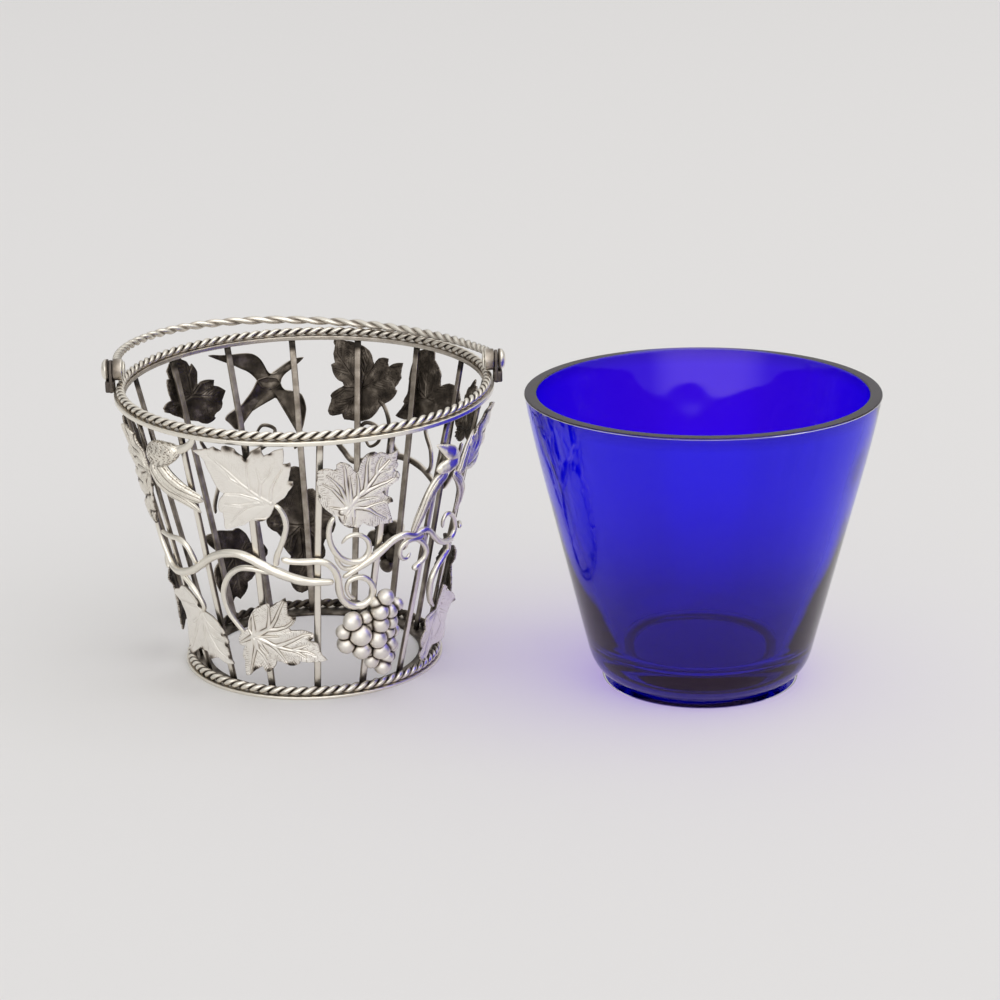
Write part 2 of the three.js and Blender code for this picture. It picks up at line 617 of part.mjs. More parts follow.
// Birds: a body along a route on the cage, as a wire's is but flattened, and one raised wing whose
// edge is a list of places on the cage, anticlockwise as seen from outside.
const BIRD_SIDES = 6;
const BIRD_FLAT_SHARE = 0.55;
const BIRD_SHARES = {
  bird_left: {
    body: [[209.5, 0.86, 0.4], [212, 0.84, 0.75], [216, 0.81, 0.8], [221, 0.782, 0.65], [227, 0.755, 0.6],
      [234, 0.728, 0.5]],
    head: [[235.8, 0.968, 0.14], [234.6, 0.945, 0.2], [231, 0.918, 0.26], [227, 0.9, 0.4],
      [222.5, 0.892, 0.75], [218.5, 0.88, 1], [214.5, 0.86, 0.9], [212.5, 0.845, 0.4]],
    wing: [[211, 0.82], [211, 0.87], [208.5, 0.93], [204.5, 0.97], [199, 0.965], [200, 0.9], [196.5, 0.86],
      [199, 0.8], [196.5, 0.75], [200.5, 0.7], [199.5, 0.65], [205, 0.6], [206.5, 0.67], [208.5, 0.75]],
    wingMiddle: [205, 0.82],
  },
  bird_right: {
    body: [[332, 0.85, 0.5], [331, 0.82, 0.85], [329.5, 0.79, 0.85], [326.2, 0.765, 0.7],
      [321.5, 0.748, 0.55], [318.8, 0.712, 0.5], [317, 0.665, 0.5], [315.6, 0.63, 0.35]],
    head: [[316.8, 0.905, 0.1], [319.2, 0.902, 0.25], [323, 0.89, 0.5], [327, 0.868, 0.5],
      [330.2, 0.84, 0.7], [331, 0.815, 0.5]],
    wing: [[333, 0.79], [336, 0.77], [340.5, 0.765], [345.5, 0.775], [345.5, 0.81], [350.5, 0.83],
      [349, 0.86], [353, 0.89], [350.5, 0.92], [354, 0.96], [349, 0.97], [342, 0.94], [336, 0.9], [333, 0.86]],
    wingMiddle: [340, 0.85],
  },
};

function bird({ body, head, wing, wingMiddle }) {
  const [edgeAzimuth] = wing[0];
  const edge = wing.map(([azimuth, share]) => {
    const outShare = Math.abs(azimuth - edgeAzimuth) / Math.abs(wingMiddle[0] - edgeAzimuth);
    return [azimuth, share, BLADE_SEAT + (LEAF_CURL * outShare) / 2];
  });
  return joined([
    alongCage(body, BIRD_RADIUS, BIRD_SIDES, BIRD_FLAT_SHARE),
    alongCage(head, BIRD_RADIUS, BIRD_SIDES, BIRD_FLAT_SHARE),
    blade([...wingMiddle, BLADE_SEAT + BLADE_CROWN], edge, WING_THICK),
  ]);
}

// Swallow: one flat cut-out, drawn from its middle in shares of its span, across and up.
const SWALLOW_AZIMUTH = 104;
const SWALLOW_HEIGHT_SHARE = 0.83;
const SWALLOW_EDGE_SHARES = [
  [0.626, 0.25], [0.364, 0.275], [0.2, 0.3], [0.11, 0.26], [0.05, 0.15], [0, 0.095], [-0.12, 0.18],
  [-0.22, 0.25], [-0.374, 0.265], [-0.29, 0.195], [-0.17, 0.115], [-0.126, 0], [-0.25, -0.096],
  [-0.374, -0.234], [-0.34, -0.47], [-0.23, -0.34], [-0.06, -0.15], [0.14, -0.277], [0.33, -0.45],
  [0.44, -0.37], [0.25, -0.21], [0.14, -0.08], [0.1, 0.02], [0.27, 0.12],
];

function swallow() {
  const radius = onCage(0, SWALLOW_HEIGHT_SHARE, 0).x;
  const edge = SWALLOW_EDGE_SHARES.map(([across, up]) => [
    SWALLOW_AZIMUTH + (across * SWALLOW_SPAN) / radius / DEG,
    SWALLOW_HEIGHT_SHARE + (up * SWALLOW_SPAN) / uprightHeight,
    BLADE_SEAT + (LEAF_CURL * Math.hypot(across, up)) / 2,
  ]);
  return blade([SWALLOW_AZIMUTH, SWALLOW_HEIGHT_SHARE, BLADE_SEAT + BLADE_CROWN], edge, WING_THICK);
}

function addBirds() {
  for (const [name, shares] of Object.entries(BIRD_SHARES)) {
    addPiece(name, bird(shares));
  }
  addPiece("swallow_back", swallow());
}

// Grapes: rows of berries that run into each other, the middle ones standing further out.
// Each row is its number of berries and its shift sideways, as a share of a berry's width.
const BERRY_SIDES = 7;
const BERRY_BANDS = 4;
const BERRY_PITCH_SHARE = 0.84;
const BERRY_ROW_SHARE = 0.74;
const BERRY_BULGE_SHARE = 0.35;
const GRAPE_SHARES = {
  grapes_front: {
    azimuth: 294,
    topShare: 0.365,
    rows: [[2, 1], [4, 0.15], [4, -0.27], [4, 0.1], [2, 0.55], [1, 0.8]],
  },
  grapes_back: { azimuth: 57.5, topShare: 0.31, rows: [[2, 0], [3, 0], [2, 0], [1, 0]] },
};

function berry(azimuth, heightShare, standoff) {
  const geometry = new THREE.SphereGeometry(BERRY_RADIUS, BERRY_SIDES, BERRY_BANDS);
  geometry.rotateZ(-Math.PI / 2).rotateZ(azimuth * DEG);
  return geometry.translate(...onCage(azimuth, heightShare, standoff));
}

function grapes({ azimuth, topShare, rows }) {
  const width = 2 * BERRY_RADIUS;
  const radius = onCage(0, topShare, 0).x;
  const berries = [];
  rows.forEach(([count, shift], row) => {
    for (let i = 0; i < count; i++) {
      const fromMiddle = i - (count - 1) / 2;
      const across = width * (fromMiddle * BERRY_PITCH_SHARE + shift);
      const bulge = width * BERRY_BULGE_SHARE * (1 - Math.abs(fromMiddle) / (count / 2));
      const share = topShare - (row * width * BERRY_ROW_SHARE) / uprightHeight;
      berries.push(berry(azimuth + across / radius / DEG, share, SEAT_GAP + BERRY_RADIUS + bulge));
    }
  });
  return joined(berries);
}

function addGrapes() {
  for (const [name, shares] of Object.entries(GRAPE_SHARES)) {
    addPiece(name, grapes(shares));
  }
}

// Glass liner: a tapered tumbler with a thick floor, a rounded foot and a ground lip.
const CORNER_STEPS = 3;

function glassLiner() {
  const shoulder = LINER_HEIGHT - LINER_SHOULDER_DROP;
  const lean = (LINER_SHOULDER_RADIUS - LINER_BASE_RADIUS) / (shoulder - LINER_CORNER);
  const profile = [[0, LINER_FLOOR]];
  const floorRadius = LINER_BASE_RADIUS + lean * LINER_FLOOR - LINER_WALL;
  profile.push([floorRadius - LINER_CORNER / 2, LINER_FLOOR]);
  profile.push([floorRadius, LINER_FLOOR + LINER_CORNER / 2]);
  profile.push([LINER_SHOULDER_RADIUS - LINER_WALL, shoulder]);
  profile.push([LINER_TOP_RADIUS - LINER_WALL, LINER_HEIGHT - LINER_LIP_ROUND]);
  profile.push([LINER_TOP_RADIUS - LINER_WALL + LINER_LIP_ROUND, LINER_HEIGHT]);
  profile.push([LINER_TOP_RADIUS - LINER_LIP_ROUND, LINER_HEIGHT]);
  profile.push([LINER_TOP_RADIUS, LINER_HEIGHT - LINER_LIP_ROUND]);
  profile.push([LINER_SHOULDER_RADIUS, shoulder]);
  for (let i = 0; i <= CORNER_STEPS; i++) {
    const angle = (Math.PI / 2) * (i / CORNER_STEPS);
    const inset = LINER_CORNER * (1 - Math.cos(angle));
    profile.push([LINER_BASE_RADIUS - inset, LINER_CORNER * (1 - Math.sin(angle))]);
  }
  profile.push([0, 0]);
  return turned(profile.reverse(), LINER_FACETS);
}

function addLiner() {
  const liner = addPiece("glass_liner", glassLiner(), cobaltGlass);
  liner.position.set(LINER_PLACE_X, LINER_PLACE_Y, 0);
}

addRings();
addUprights();
addHinges();
addVines();
addLeaves();
addBirds();
addGrapes();
addLiner();

export default pail;
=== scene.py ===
"""A small open-work silver cream pail and its cobalt glass liner, finished for the camera.

The pail's axis is Z and it stands on Z = 0. Sizes are in millimetres, and a piece's points become
metres when its mesh is made. Places on the cage are degrees round the axis and shares of the
uprights' height, or pixels of the picture that the camera lays on the cage. Surfaces are grids of
points worked out with numpy.
"""

import math

import bpy
import numpy as np
from mathutils import Matrix, Vector


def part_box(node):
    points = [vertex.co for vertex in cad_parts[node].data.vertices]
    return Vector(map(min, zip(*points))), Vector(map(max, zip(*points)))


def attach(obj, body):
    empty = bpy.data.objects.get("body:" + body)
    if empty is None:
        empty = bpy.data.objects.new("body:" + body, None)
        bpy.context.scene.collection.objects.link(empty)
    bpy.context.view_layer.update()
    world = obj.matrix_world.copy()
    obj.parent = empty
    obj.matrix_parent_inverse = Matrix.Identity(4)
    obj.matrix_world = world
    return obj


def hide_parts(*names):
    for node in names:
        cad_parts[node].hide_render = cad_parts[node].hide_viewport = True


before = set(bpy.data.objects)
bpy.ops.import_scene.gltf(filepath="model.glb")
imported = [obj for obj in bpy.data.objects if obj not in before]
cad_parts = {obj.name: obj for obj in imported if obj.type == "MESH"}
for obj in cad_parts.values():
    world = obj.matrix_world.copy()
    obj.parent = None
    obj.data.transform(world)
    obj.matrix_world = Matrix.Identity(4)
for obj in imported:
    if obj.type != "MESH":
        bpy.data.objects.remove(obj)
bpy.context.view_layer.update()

MM = 0.001
TURN = 2 * math.pi

# The camera, worked out from the ellipses of the two rims and the two feet.
CAMERA_PLACE = (14.62, -507.97, 196.4)
CAMERA_LENS = 94.2
CAMERA_PITCH = 17.93
CAMERA_HEADING = -2.73
CAMERA_ROLL = -0.87


def corners(node):
    """The lowest and highest corner of one of the frame's nodes, in millimetres."""
    low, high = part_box(node)
    return np.array(low) / MM, np.array(high) / MM


# Sizes taken from the frame: the radii of the two flat rings, the uprights' height and the liner.
upright_low, upright_high = corners("upright_01")
liner_low, liner_high = corners("glass_liner")
RIM_RADIUS = corners("rim_plate")[1][0]
FOOT_RADIUS = corners("foot_plate")[1][0]
UPRIGHT_BOTTOM = upright_low[2]
UPRIGHT_HEIGHT = upright_high[2] - upright_low[2]

# Widths of the flat rings, and the cone that the uprights' outer faces lie on.
RIM_RING_WIDTH = 2.25
RIM_RING_BOTTOM = 56.6
RIM_RING_THICK = 0.9
FOOT_RING_WIDTH = 4.9
FOOT_RING_THICK = 0.6
RING_CORNER = 0.22
CAGE_FOOT_RADIUS = 23.75
CAGE_HEAD_RADIUS = 36.575
SEAT_GAP = 0.14
PIN_GAP = 0.12

# Ropes of two round strands: crests round each rim, and a strand's thickness as a share of the rope's.
RIM_ROPE_CRESTS = 102
FOOT_ROPE_CRESTS = 74
BAIL_ROPE_CRESTS = 37
STRAND_SHARE = 0.57
BAIL_STRAND_SHARE = 0.62
RIM_ROPE_RADIUS = 0.85
RIM_ROPE_INSET = 1.35
FOOT_ROPE_RADIUS = 0.92
FOOT_ROPE_INSET = 1.1
STRAND_SIDES = 12
ROPE_STEPS_PER_CREST = 9
# The cosines between which a strand is painted darker: as shade with oxide where it meets the
# other, and as shade underneath and where it faces the axis.
MEETING_EDGES = (0.45, -0.15)
BENEATH_EDGES = (0.1, -0.9)
FACING_IN_EDGES = (0.45, -0.2)
MEETING_DARKNESS = 0.9
BAIL_MEETING_DARKNESS = 0.5

# Uprights.
UPRIGHT_COUNT = 16
UPRIGHT_WIDTH = 1.35
UPRIGHT_THICK = 0.75
UPRIGHT_HEAD_ANGLE = 5.4
UPRIGHT_FOOT_ANGLE = 2.2
UPRIGHT_EDGE = 0.2
UPRIGHT_CROWN = 0.07
UPRIGHT_WAVER = 0.05
UPRIGHT_SIDE_DARKNESS = 0.62
UPRIGHT_BACK_DARKNESS = 0.5
UPRIGHT_END_DARKNESS = 0.6
# Where an upright starts to be painted darker and where it is full: across its face towards its sides,
# as painted shade, through it towards its back, as tarnish and painted shade, and at its ends, where it
# meets the rings.
UPRIGHT_SIDE_EDGES = (0.62, 0.98)
UPRIGHT_BACK_EDGES = (-0.25, -0.5)
UPRIGHT_FOOT_EDGES = (0.04, 0)
UPRIGHT_HEAD_EDGES = (0.965, 1)

# Hinge pieces.
PIVOT_HEIGHT = 61.6
EAR_INNER = 38.14
EAR_THICK = 0.6
EAR_RADIUS = 1.9
EAR_FOOT_WIDTH = 3.2
EAR_FOOT_DEPTH = 1.8
EAR_FOOT_HEIGHT = 2.3
EAR_EDGE = 0.12
EAR_FOOT_CORNER = 0.4
EAR_FOOT_EDGE = 0.3
EAR_FOOT_INSET = 0.3
EAR_DROP = 4.4
KNUCKLE_RADIUS = 2.15
KNUCKLE_LENGTH = 1.9
KNUCKLE_CORNER = 0.28
KNUCKLE_DARKNESS = 0.6
KNUCKLE_SHADE_SHARE = 0.25
RIVET_RADIUS = 0.75
RIVET_HEAD_RADIUS = 2.1
RIVET_HEAD_RISE = 1.5
RIVET_SIDE_SHARE = 0.28
RIVET_DARKNESS = 0.75
RIVET_SHADE_SHARES = (1.25, 0.9)
RIVET_TAIL_RADIUS = 1.6
RIVET_TAIL_THICK = 0.3
RIVET_HUB = 0.05
RIVET_EASES = [0, 0.2, 0.1, 0.02, 0.02, 0.18, 0]
RIVET_DOME_POWER = 0.8
BAIL_REACH = 39.6
BAIL_ROPE_RADIUS = 0.9
BAIL_REST_ANGLE = -1.5
BAIL_LIFT = 1.5
BAIL_LIFT_REACH = 12
BAIL_SKEW = 0.17
BAIL_DIP = 0.75
BAIL_TIGHTNESS = 0.35
BAIL_END_GAP = 0.6

# Vines, leaves, birds and grapes.
VINE_RADIUS = 0.7
VINE_SIDES = 14
VINE_STEP = 0.3
VINE_SWELL = 0.03
VINE_SWELL_PITCH = 1.7
VINE_BENEATH_EDGES = (0.1, -0.75)
CURVE_STEPS = 24
# The least square that a wire's and a body's radius keep at their domed ends, as shares.
LEAST_WIRE_SHARE = 0.02
LEAST_BODY_SHARE = 0.03
LEAF_THICK = 0.45
WING_THICK = 0.55
BLADE_SEAT = 0.34
BLADE_CROWN = 0.35
LEAF_CURL = 1.5
LEAF_RUFFLE = 0.42
LEAF_SWELL = 0.1
LEAF_SPOT_CURL = 0.5
LEAST_RISE = 0.06
SWALLOW_RISE = 1.1
FEATHER_RISE = 0.45
BIRD_RADIUS = 2.4
BERRY_RADIUS = 1.8

# Glass liner.
LINER_WALL = 2.4
LINER_FLOOR = 6.4
LINER_FLOOR_RADIUS = 15.5
LINER_HEEL_RADIUS = 18.4
LINER_HEEL_HEIGHT = 8.6
LINER_BASE_RADIUS = 20.9
LINER_SHOULDER_RADIUS = 33.2
LINER_SHOULDER_DROP = 9
LINER_CORNER = 6.5
LINER_WAIST = 0.9
LINER_LIP_ROUND = 0.35
LINER_LIP_DEPTH = 1.4
LINER_LIP_EDGE = 0.3
LINER_HUB = 0.4
LINER_HOLLOW = 0.35
LINER_HOLLOW_SHARES = (0.7, 0.82)
LINER_HOLLOW_EDGE = 0.3
LINER_WAIST_WALL_SHARE = 1.15
LINER_FLOOR_FLAT_SHARE = 0.25
# How far each corner of its section is rounded, from the underside round the lip to the floor.
LINER_EASES = [
    0, 2, 2.5, LINER_CORNER, 18, 6, 0.1, LINER_LIP_ROUND, LINER_LIP_ROUND, 6, 8, 1.6, 1.6, 1, 0,
]
LINER_SIDES = 192
RING_SIDES = 256
RIVET_SIDES = 48
UPRIGHT_ROWS = 49
LINER_MIDDLE_Y = (liner_low[1] + liner_high[1]) / 2

# The picture's frame, and how far off the cage the outlines read from it lie.
SENSOR_WIDTH = 36
FRAME_PIXELS = 1000
LEAF_STANDOFF = 1.4

# The numbers each point carries. The first is its darkness: the silver's oxide together with painted shade.
SHADING = ("tone_and_shade", "tooling", "hatching")

# Leaves: how many points round an outline and rows from its hub to it, the lobes' spacing and the
# reach of their flanks, the depth of the teeth, and the veins' width, height and side branches.
LEAF_POINTS = 240
FACE_ROWS = 72
BACK_ROWS = 56
HIDDEN_ROWS = 40
SWALLOW_ROWS = 40
WING_ROWS = 36
LOBE_STEP = 360 / 28
LEAF_NECK_SHARE = 0.11
LEAF_FLANK_SHARES = [1, 0.78, 0.62, 0.5, 0.34, 0.16]
LEAF_TOOTH_SHARE = 0.1
LEAF_TEETH_PER_STEP = 1.5
LEAF_TOOTH_POWER = 0.7
LEAF_TOOTH_MIDDLE = 0.6
LEAF_TOOTH_EDGES = (0.2, 0.4)
VEIN_WIDTH = 0.21
VEIN_RISE = 0.17
VEIN_LEAN = 37
VEIN_REACH_SHARE = 0.92
SIDE_VEIN_WIDTH_SHARE = 0.72
SIDE_VEIN_BEND_SHARE = 0.55
VEIN_SIDE_SHARES = [[0.3, 0.42], [0.5, 0.34], [0.68, 0.24]]
# How strongly a leaf is embossed and chased, how dark its back is painted, as tarnish and shade, and
# how wide its veins are.
LEAF_FINISH_AND_SHADE_SHARES = {
    "leaf_front_left": [0.9, 0.15, 0.9, 1.1],
    "leaf_left_low": [0.8, 0.2, 0.85, 1.3],
    "leaf_right_low": [0.8, 0.5, 0.8, 1.2],
    "leaf_front_right": [1.3, 1, 0.85, 1.2],
    "leaf_front_low": [1.4, 0.9, 0.8, 1.25],
    "others": [1, 0.8, 0.82, 1],
}
SETTLING_ROUNDS = 30
# Outlines: the points from one place to the next, and how far the edge bows out between them.
LEAF_BOW = (8, 0.03)
BACK_LEAF_BOW = (4, 0.02)
WING_BOW = (14, 0.08)
# How a blade's rows crowd towards its edge, how far that stands proud, and what its back keeps.
BLADE_ROW_POWER = 0.85
BLADE_PROUD_SHARE = 0.25
BLADE_EDGE_SHARES = (0.5, 0.4)
BLADE_BACK_TOOLING = 0.5
# A leaf's ruffle, the groove beside a vein in vein widths, and where its marks begin and are full.
RUFFLE_WAVES = 5
RUFFLE_TWIST = 3
GROOVE_PLACE = 1.7
GROOVE_WIDTH = 0.5
GROOVE_DEPTH_SHARE = 0.35
GROOVE_EDGES = (0.12, 0.3)
PANEL_EDGES = (1.5, 5)
SPOT_EDGES = (0.8, 0.97)
LEAF_RIM_EDGES = (0.975, 1)
CHASED_EDGES = (2.2, 4)
CHASED_REACH_EDGES = (0.3, 0.75)
HATCH_LEAN = 0.7
HATCH_PITCH = 0.5
BIRD_FLAT_SHARE = 0.62
BIRD_END_SHARE = 0.35
BIRD_STANDOFF = 1.4
BODY_STEP = 0.14
BODY_SIDES = 56
SCALE_LENGTH = 1.05
SCALES_ROUND = 14
SCALE_CURVE = 0.3
SCALE_SWELL = 0.1
FEATHER_SWELL = 0.13
BODY_TRIM = 0.94
BODY_TOOLING = {"plain": 0.15, "scales": 0.6, "feathers": 0.7}
BODY_BACK_EDGES = (-0.05, -0.55)
SCALE_EDGES = (0.25, 0.02)
FEATHER_EDGES = (0.35, 0.05)
WING_FEATHER_EDGES = (0.4, 0.08)
WING_TOOLING = 0.8
WING_TOOLING_EDGES = (0.1, 0.5)
SWALLOW_TOOLING = 0.25
SWALLOW_ROLL = 0.98
SWALLOW_EASE_SHARE = 0.35
SWALLOW_EASE_MOST = 0.5
WING_CURL = 0.75
PIXELS_PER_MM = 4.7
BERRY_PITCH_SHARE = 0.84
BERRY_ROW_SHARE = 0.74
BERRY_BULGE_SHARE = 0.35
BERRY_FIT = 1.06
BERRY_READ_BULGE = 0.5
BERRY_SWELL = 0.035
BERRY_DIP = 0.02
CREVICE_EDGES = (0.6, -0.05)
BERRY_BACK_EDGES = (0, -0.5)

# Finishes: colours by how dark the silver is, from its oxide and from painted shade, and the scales of its
# marks per metre.
SILVER_STOPS = [
    (0, (0.9, 0.86, 0.765)), (0.3, (0.66, 0.6, 0.52)), (0.55, (0.3, 0.26, 0.215)),
    (0.8, (0.09, 0.075, 0.06)), (1, (0.03, 0.026, 0.022)),
]
SATIN_STOPS = [
    (0, (0.97, 0.94, 0.875)), (0.3, (0.72, 0.67, 0.6)), (0.55, (0.3, 0.26, 0.215)),
    (0.8, (0.08, 0.066, 0.053)), (1, (0.025, 0.021, 0.018)),
]
# The ears' silver: a darker copy that is painted shade.
SHADE_SILVER_STOPS = [(0, (0.5, 0.46, 0.41)), (0.5, (0.22, 0.19, 0.165)), (1, (0.06, 0.05, 0.045))]
SILVER_ROUGHNESS = (0.27, 0.4)
SATIN_ROUGHNESS = (0.4, 0.42)
SHADE_SILVER_ROUGHNESS = (0.35, 0.6)
MOTTLE_SCALE = 380
GRAIN_SCALE = 2600
MARK_SCALE = 2000
DASH_SCALE = 1300
MOTTLE_DETAIL = 5
GRAIN_DETAIL = 3
DASH_DETAIL = 1
PUNCH_SHARE = 0.5
MOTTLE_DARKNESS = 0.22
MOTTLE_WITH_DARKNESS = 0.75
PIT_DARKNESS = 0.42
PIT_EDGES = (0.45, 0.15)
LINE_EDGES = (0.3, 0.9)
DASH_EDGES = (0.42, 0.56)
GRAIN_ROUGHNESS = 0.1
MOTTLE_HEIGHT = 0.9
PIT_HEIGHT = -2.2
BUMP_DEPTH = 0.08
BUMP_STRENGTH = 0.5
GLASS_COLOUR = (1, 1, 1)
GLASS_FOOT_COLOUR = (0.42, 0.42, 0.44)
GLASS_SHADE_TOP = 36
GLASS_SHADE_BOTTOM = 3
GLASS_LIP_SHADE = 0.55
GLASS_SHEEN_COLOUR = (1, 0.7, 1)
GLASS_SHADOW_COLOUR = (0.91, 0.9, 0.96)
GLASS_HAZE_COLOUR = (0.965, 0.965, 0.98)
GLASS_DEPTH_COLOUR = (0.45, 0, 0.993)
GLASS_DENSITY = 2400
WAVE_SCALE = 45
WAVE_DETAIL = 1
WAVE_DEPTH = 1.2
WAVE_STRENGTH = 0.3
GLASS_ROUGHNESS = 0.03
GLASS_BENDING = 1.5
DIFFUSE_THINNING = 0.98
SHADOW_THINNING_DROP = 0.1

# How each body leans towards its top: the middle of its axis across the depth, and degrees.
LEANS = {"pail": (0, 1.4), "bail": (0, 0.75), "liner": (LINER_MIDDLE_Y, -0.75)}

# How dark the pieces are, from 0 to 1: painted shade under, inside, behind and between parts and at
# curled rims and edges, with the silver's oxide in its hollows and tarnish on its backs, and oxide alone
# in the worked lines and as a base tone. A flat ring has one value inside and one on top.
ROPE_SHADE = 0.42
FOOT_ROPE_DARKNESS = 0.85
RIM_ROPE_DARKNESS = 0.1
FOOT_RING_DARKNESS = (0.8, 0.6)
RIM_RING_DARKNESS = (0.22, 0.4)
EAR_DARKNESS = 0.62
GROOVE_DARKNESS = 0.72
EDGE_DARKNESS = 0.35
SPOT_DARKNESS = 0.85
WIRE_DARKNESS = 0.8
SCALE_DARKNESS = 0.8
FEATHER_DARKNESS = 0.75
BODY_BACK_DARKNESS = 0.8
WING_DARKNESS = 0.85
WING_BACK_DARKNESS = 0.75
SWALLOW_DARKNESS = 0.25
SWALLOW_BACK_DARKNESS = 0.78
BERRY_DARKNESS = 0.14
CREVICE_DARKNESS = 0.66
BERRY_BACK_DARKNESS = 0.85
EAR_FOOT_DARKNESS = 0.72

# The stage. The front light is a bright place in what metal and glass reflect: the way to it, how much
# brighter it is, and the cosines at which it starts and is full. A lamp is a place, a width and watts.
FLOOR_HALF_WIDTH = 4000
FLOOR_COLOUR = (0.79, 0.775, 0.765)
FLOOR_ROUGHNESS = 0.9
BACKDROP_COLOUR = (0.78, 0.77, 0.765)
ROOM_LIGHT = 0.765
HORIZON_SHARE = 0.4
SKY_HEIGHT = 0.6
FRONT_LIGHT_WAY = (-0.2, -0.95, 0.24)
FRONT_LIGHT = 1.5
FRONT_LIGHT_EDGES = (0.7, 0.95)
LAMP_TARGET = (30, 0, 30)
LAMPS = [((1300, -700, 2300), 2800, 22)]

# Outlines of the leaves whose faces show, drawn over the picture: places in its pixels, from its left
# and its top. An outline runs clockwise.
LEAF_OUTLINE_PIXELS = {
    "leaf_front_left": [
        (196, 449), (202, 448.8), (210, 448.5), (214, 446.3), (218, 448), (221.3, 451.5), (222.5, 446.5),
        (227, 445), (233, 447), (237, 450.5), (240, 453.5), (243.5, 457.5), (247, 460.5), (249, 456),
        (254, 450), (259, 447.5), (261.5, 446.5), (262.5, 452), (264, 456), (268, 454), (273, 451),
        (283, 448.3), (283.5, 453), (283.2, 460), (282.5, 465), (286, 464), (290, 463), (290.5, 466),
        (289.5, 473), (288, 480), (287.5, 482), (292.7, 482), (292.8, 485.5), (288, 492), (284, 498.5),
        (278, 502), (276, 503.5), (273.5, 507), (271.5, 512), (269, 517), (265, 520.5), (258, 521.5),
        (250, 520.5), (244, 525.5), (238, 526.5), (232, 528.5), (225.5, 529.5), (224, 527), (223.5, 520),
        (222.5, 513), (219.5, 511.5), (218.5, 506), (219.5, 500), (222.5, 496), (224, 493.5), (220, 491),
        (217, 487), (214, 481), (211, 474), (207, 465), (205.5, 460), (202, 454.3),
    ],
    "leaf_front_right": [
        (317.5, 471.5), (325, 469), (329, 469), (334, 470.5), (336.6, 469), (336.5, 464.5), (340, 462),
        (346, 463), (350.5, 466), (353.5, 470.5), (356.5, 473), (359, 472), (360, 465), (361.3, 460.5),
        (363.8, 456.5), (366.7, 452.8), (369.5, 451), (373, 451), (377, 453.5), (380, 452), (384, 453),
        (388.5, 454), (392, 453), (396.5, 449.5), (396.3, 456), (395.8, 461), (397.5, 464), (396.5, 467),
        (394, 470.5), (397.5, 471.5), (399, 474.5), (397, 479.5), (392.5, 483), (388, 487), (382, 491),
        (384, 494), (387, 496), (390.5, 497.5), (392.5, 501.5), (389.5, 502.5), (388, 505), (389.5, 509),
        (391.5, 515), (393, 522.5), (387, 523.5), (381, 524), (375, 527), (369, 526), (364, 522.5),
        (362, 525), (360, 528), (354.5, 528.3), (349.5, 528), (344, 525.5), (340.5, 521.5), (339, 517),
        (336, 516.5), (331, 514), (324.5, 509), (320.5, 504), (319, 500), (321.5, 498), (318.5, 494),
        (318, 488), (316.5, 483.5), (317.5, 478),
    ],
    "leaf_front_low": [
        (246.5, 629.5), (246.5, 625), (249, 617), (252, 612), (254.5, 609), (258, 608.5), (261, 606),
        (267.5, 603.5), (269.5, 604), (270.5, 607.5), (275, 604.5), (281, 600), (286, 596), (287.3, 600),
        (287.5, 607), (287.8, 613), (289, 616), (292, 616.8), (295.8, 616), (295.5, 620), (292.5, 625),
        (288, 629), (291, 631.5), (296, 631.2), (302, 630.6), (308.5, 631.9), (313.5, 634), (314, 637),
        (309.5, 640), (314, 641.5), (318, 643.5), (319.5, 649), (321.5, 653.5), (326.5, 658.3),
        (322, 659.7), (314, 660.5), (307, 661), (300, 660), (299.8, 662.5), (294, 664.5), (287, 664),
        (281, 662), (276, 661.5), (275, 666), (270, 671), (266, 671.5), (263.5, 667), (262.5, 665.5),
        (257, 668.5), (254, 671), (251, 674), (247.5, 674.5), (245.5, 668), (244.5, 661), (242, 657),
        (242.5, 650), (244.5, 646.5), (242, 646), (238.5, 644), (238, 638), (240, 633), (244, 632.5),
    ],
    "leaf_left_low": [
        (180.8, 585.8), (184, 587), (189.5, 591.5), (194, 597), (197.5, 603), (199.2, 608), (200.8, 612),
        (205, 613.8), (211, 617.5), (216.5, 622), (221, 627.5), (225.5, 633), (223, 634.5), (227, 639),
        (228.5, 643), (226.5, 645.5), (228, 652), (231, 658.5), (234.3, 663.5), (229, 663.5),
        (224, 660.5), (220, 657), (217, 656.5), (213, 657.5), (209, 654), (207, 651.5), (203, 649),
        (199.5, 647), (197, 650), (195, 652), (193.5, 649), (192.5, 643), (191, 637), (189, 629),
        (186, 620), (183.5, 610), (181.5, 601), (179.3, 597), (176.5, 592), (177, 588.5), (179.3, 588.6),
    ],
    "leaf_right_low": [
        (439, 584), (445, 589), (448, 596), (447.5, 605), (447, 612), (444, 620), (442, 629), (438, 638),
        (433, 645), (428, 650), (424, 656), (420, 660), (417.5, 658.5), (418.5, 654), (422.5, 649),
        (422, 644), (423.5, 635), (426.5, 629), (425, 628), (426, 624), (429, 618), (434, 612),
        (437, 609),
    ],
}
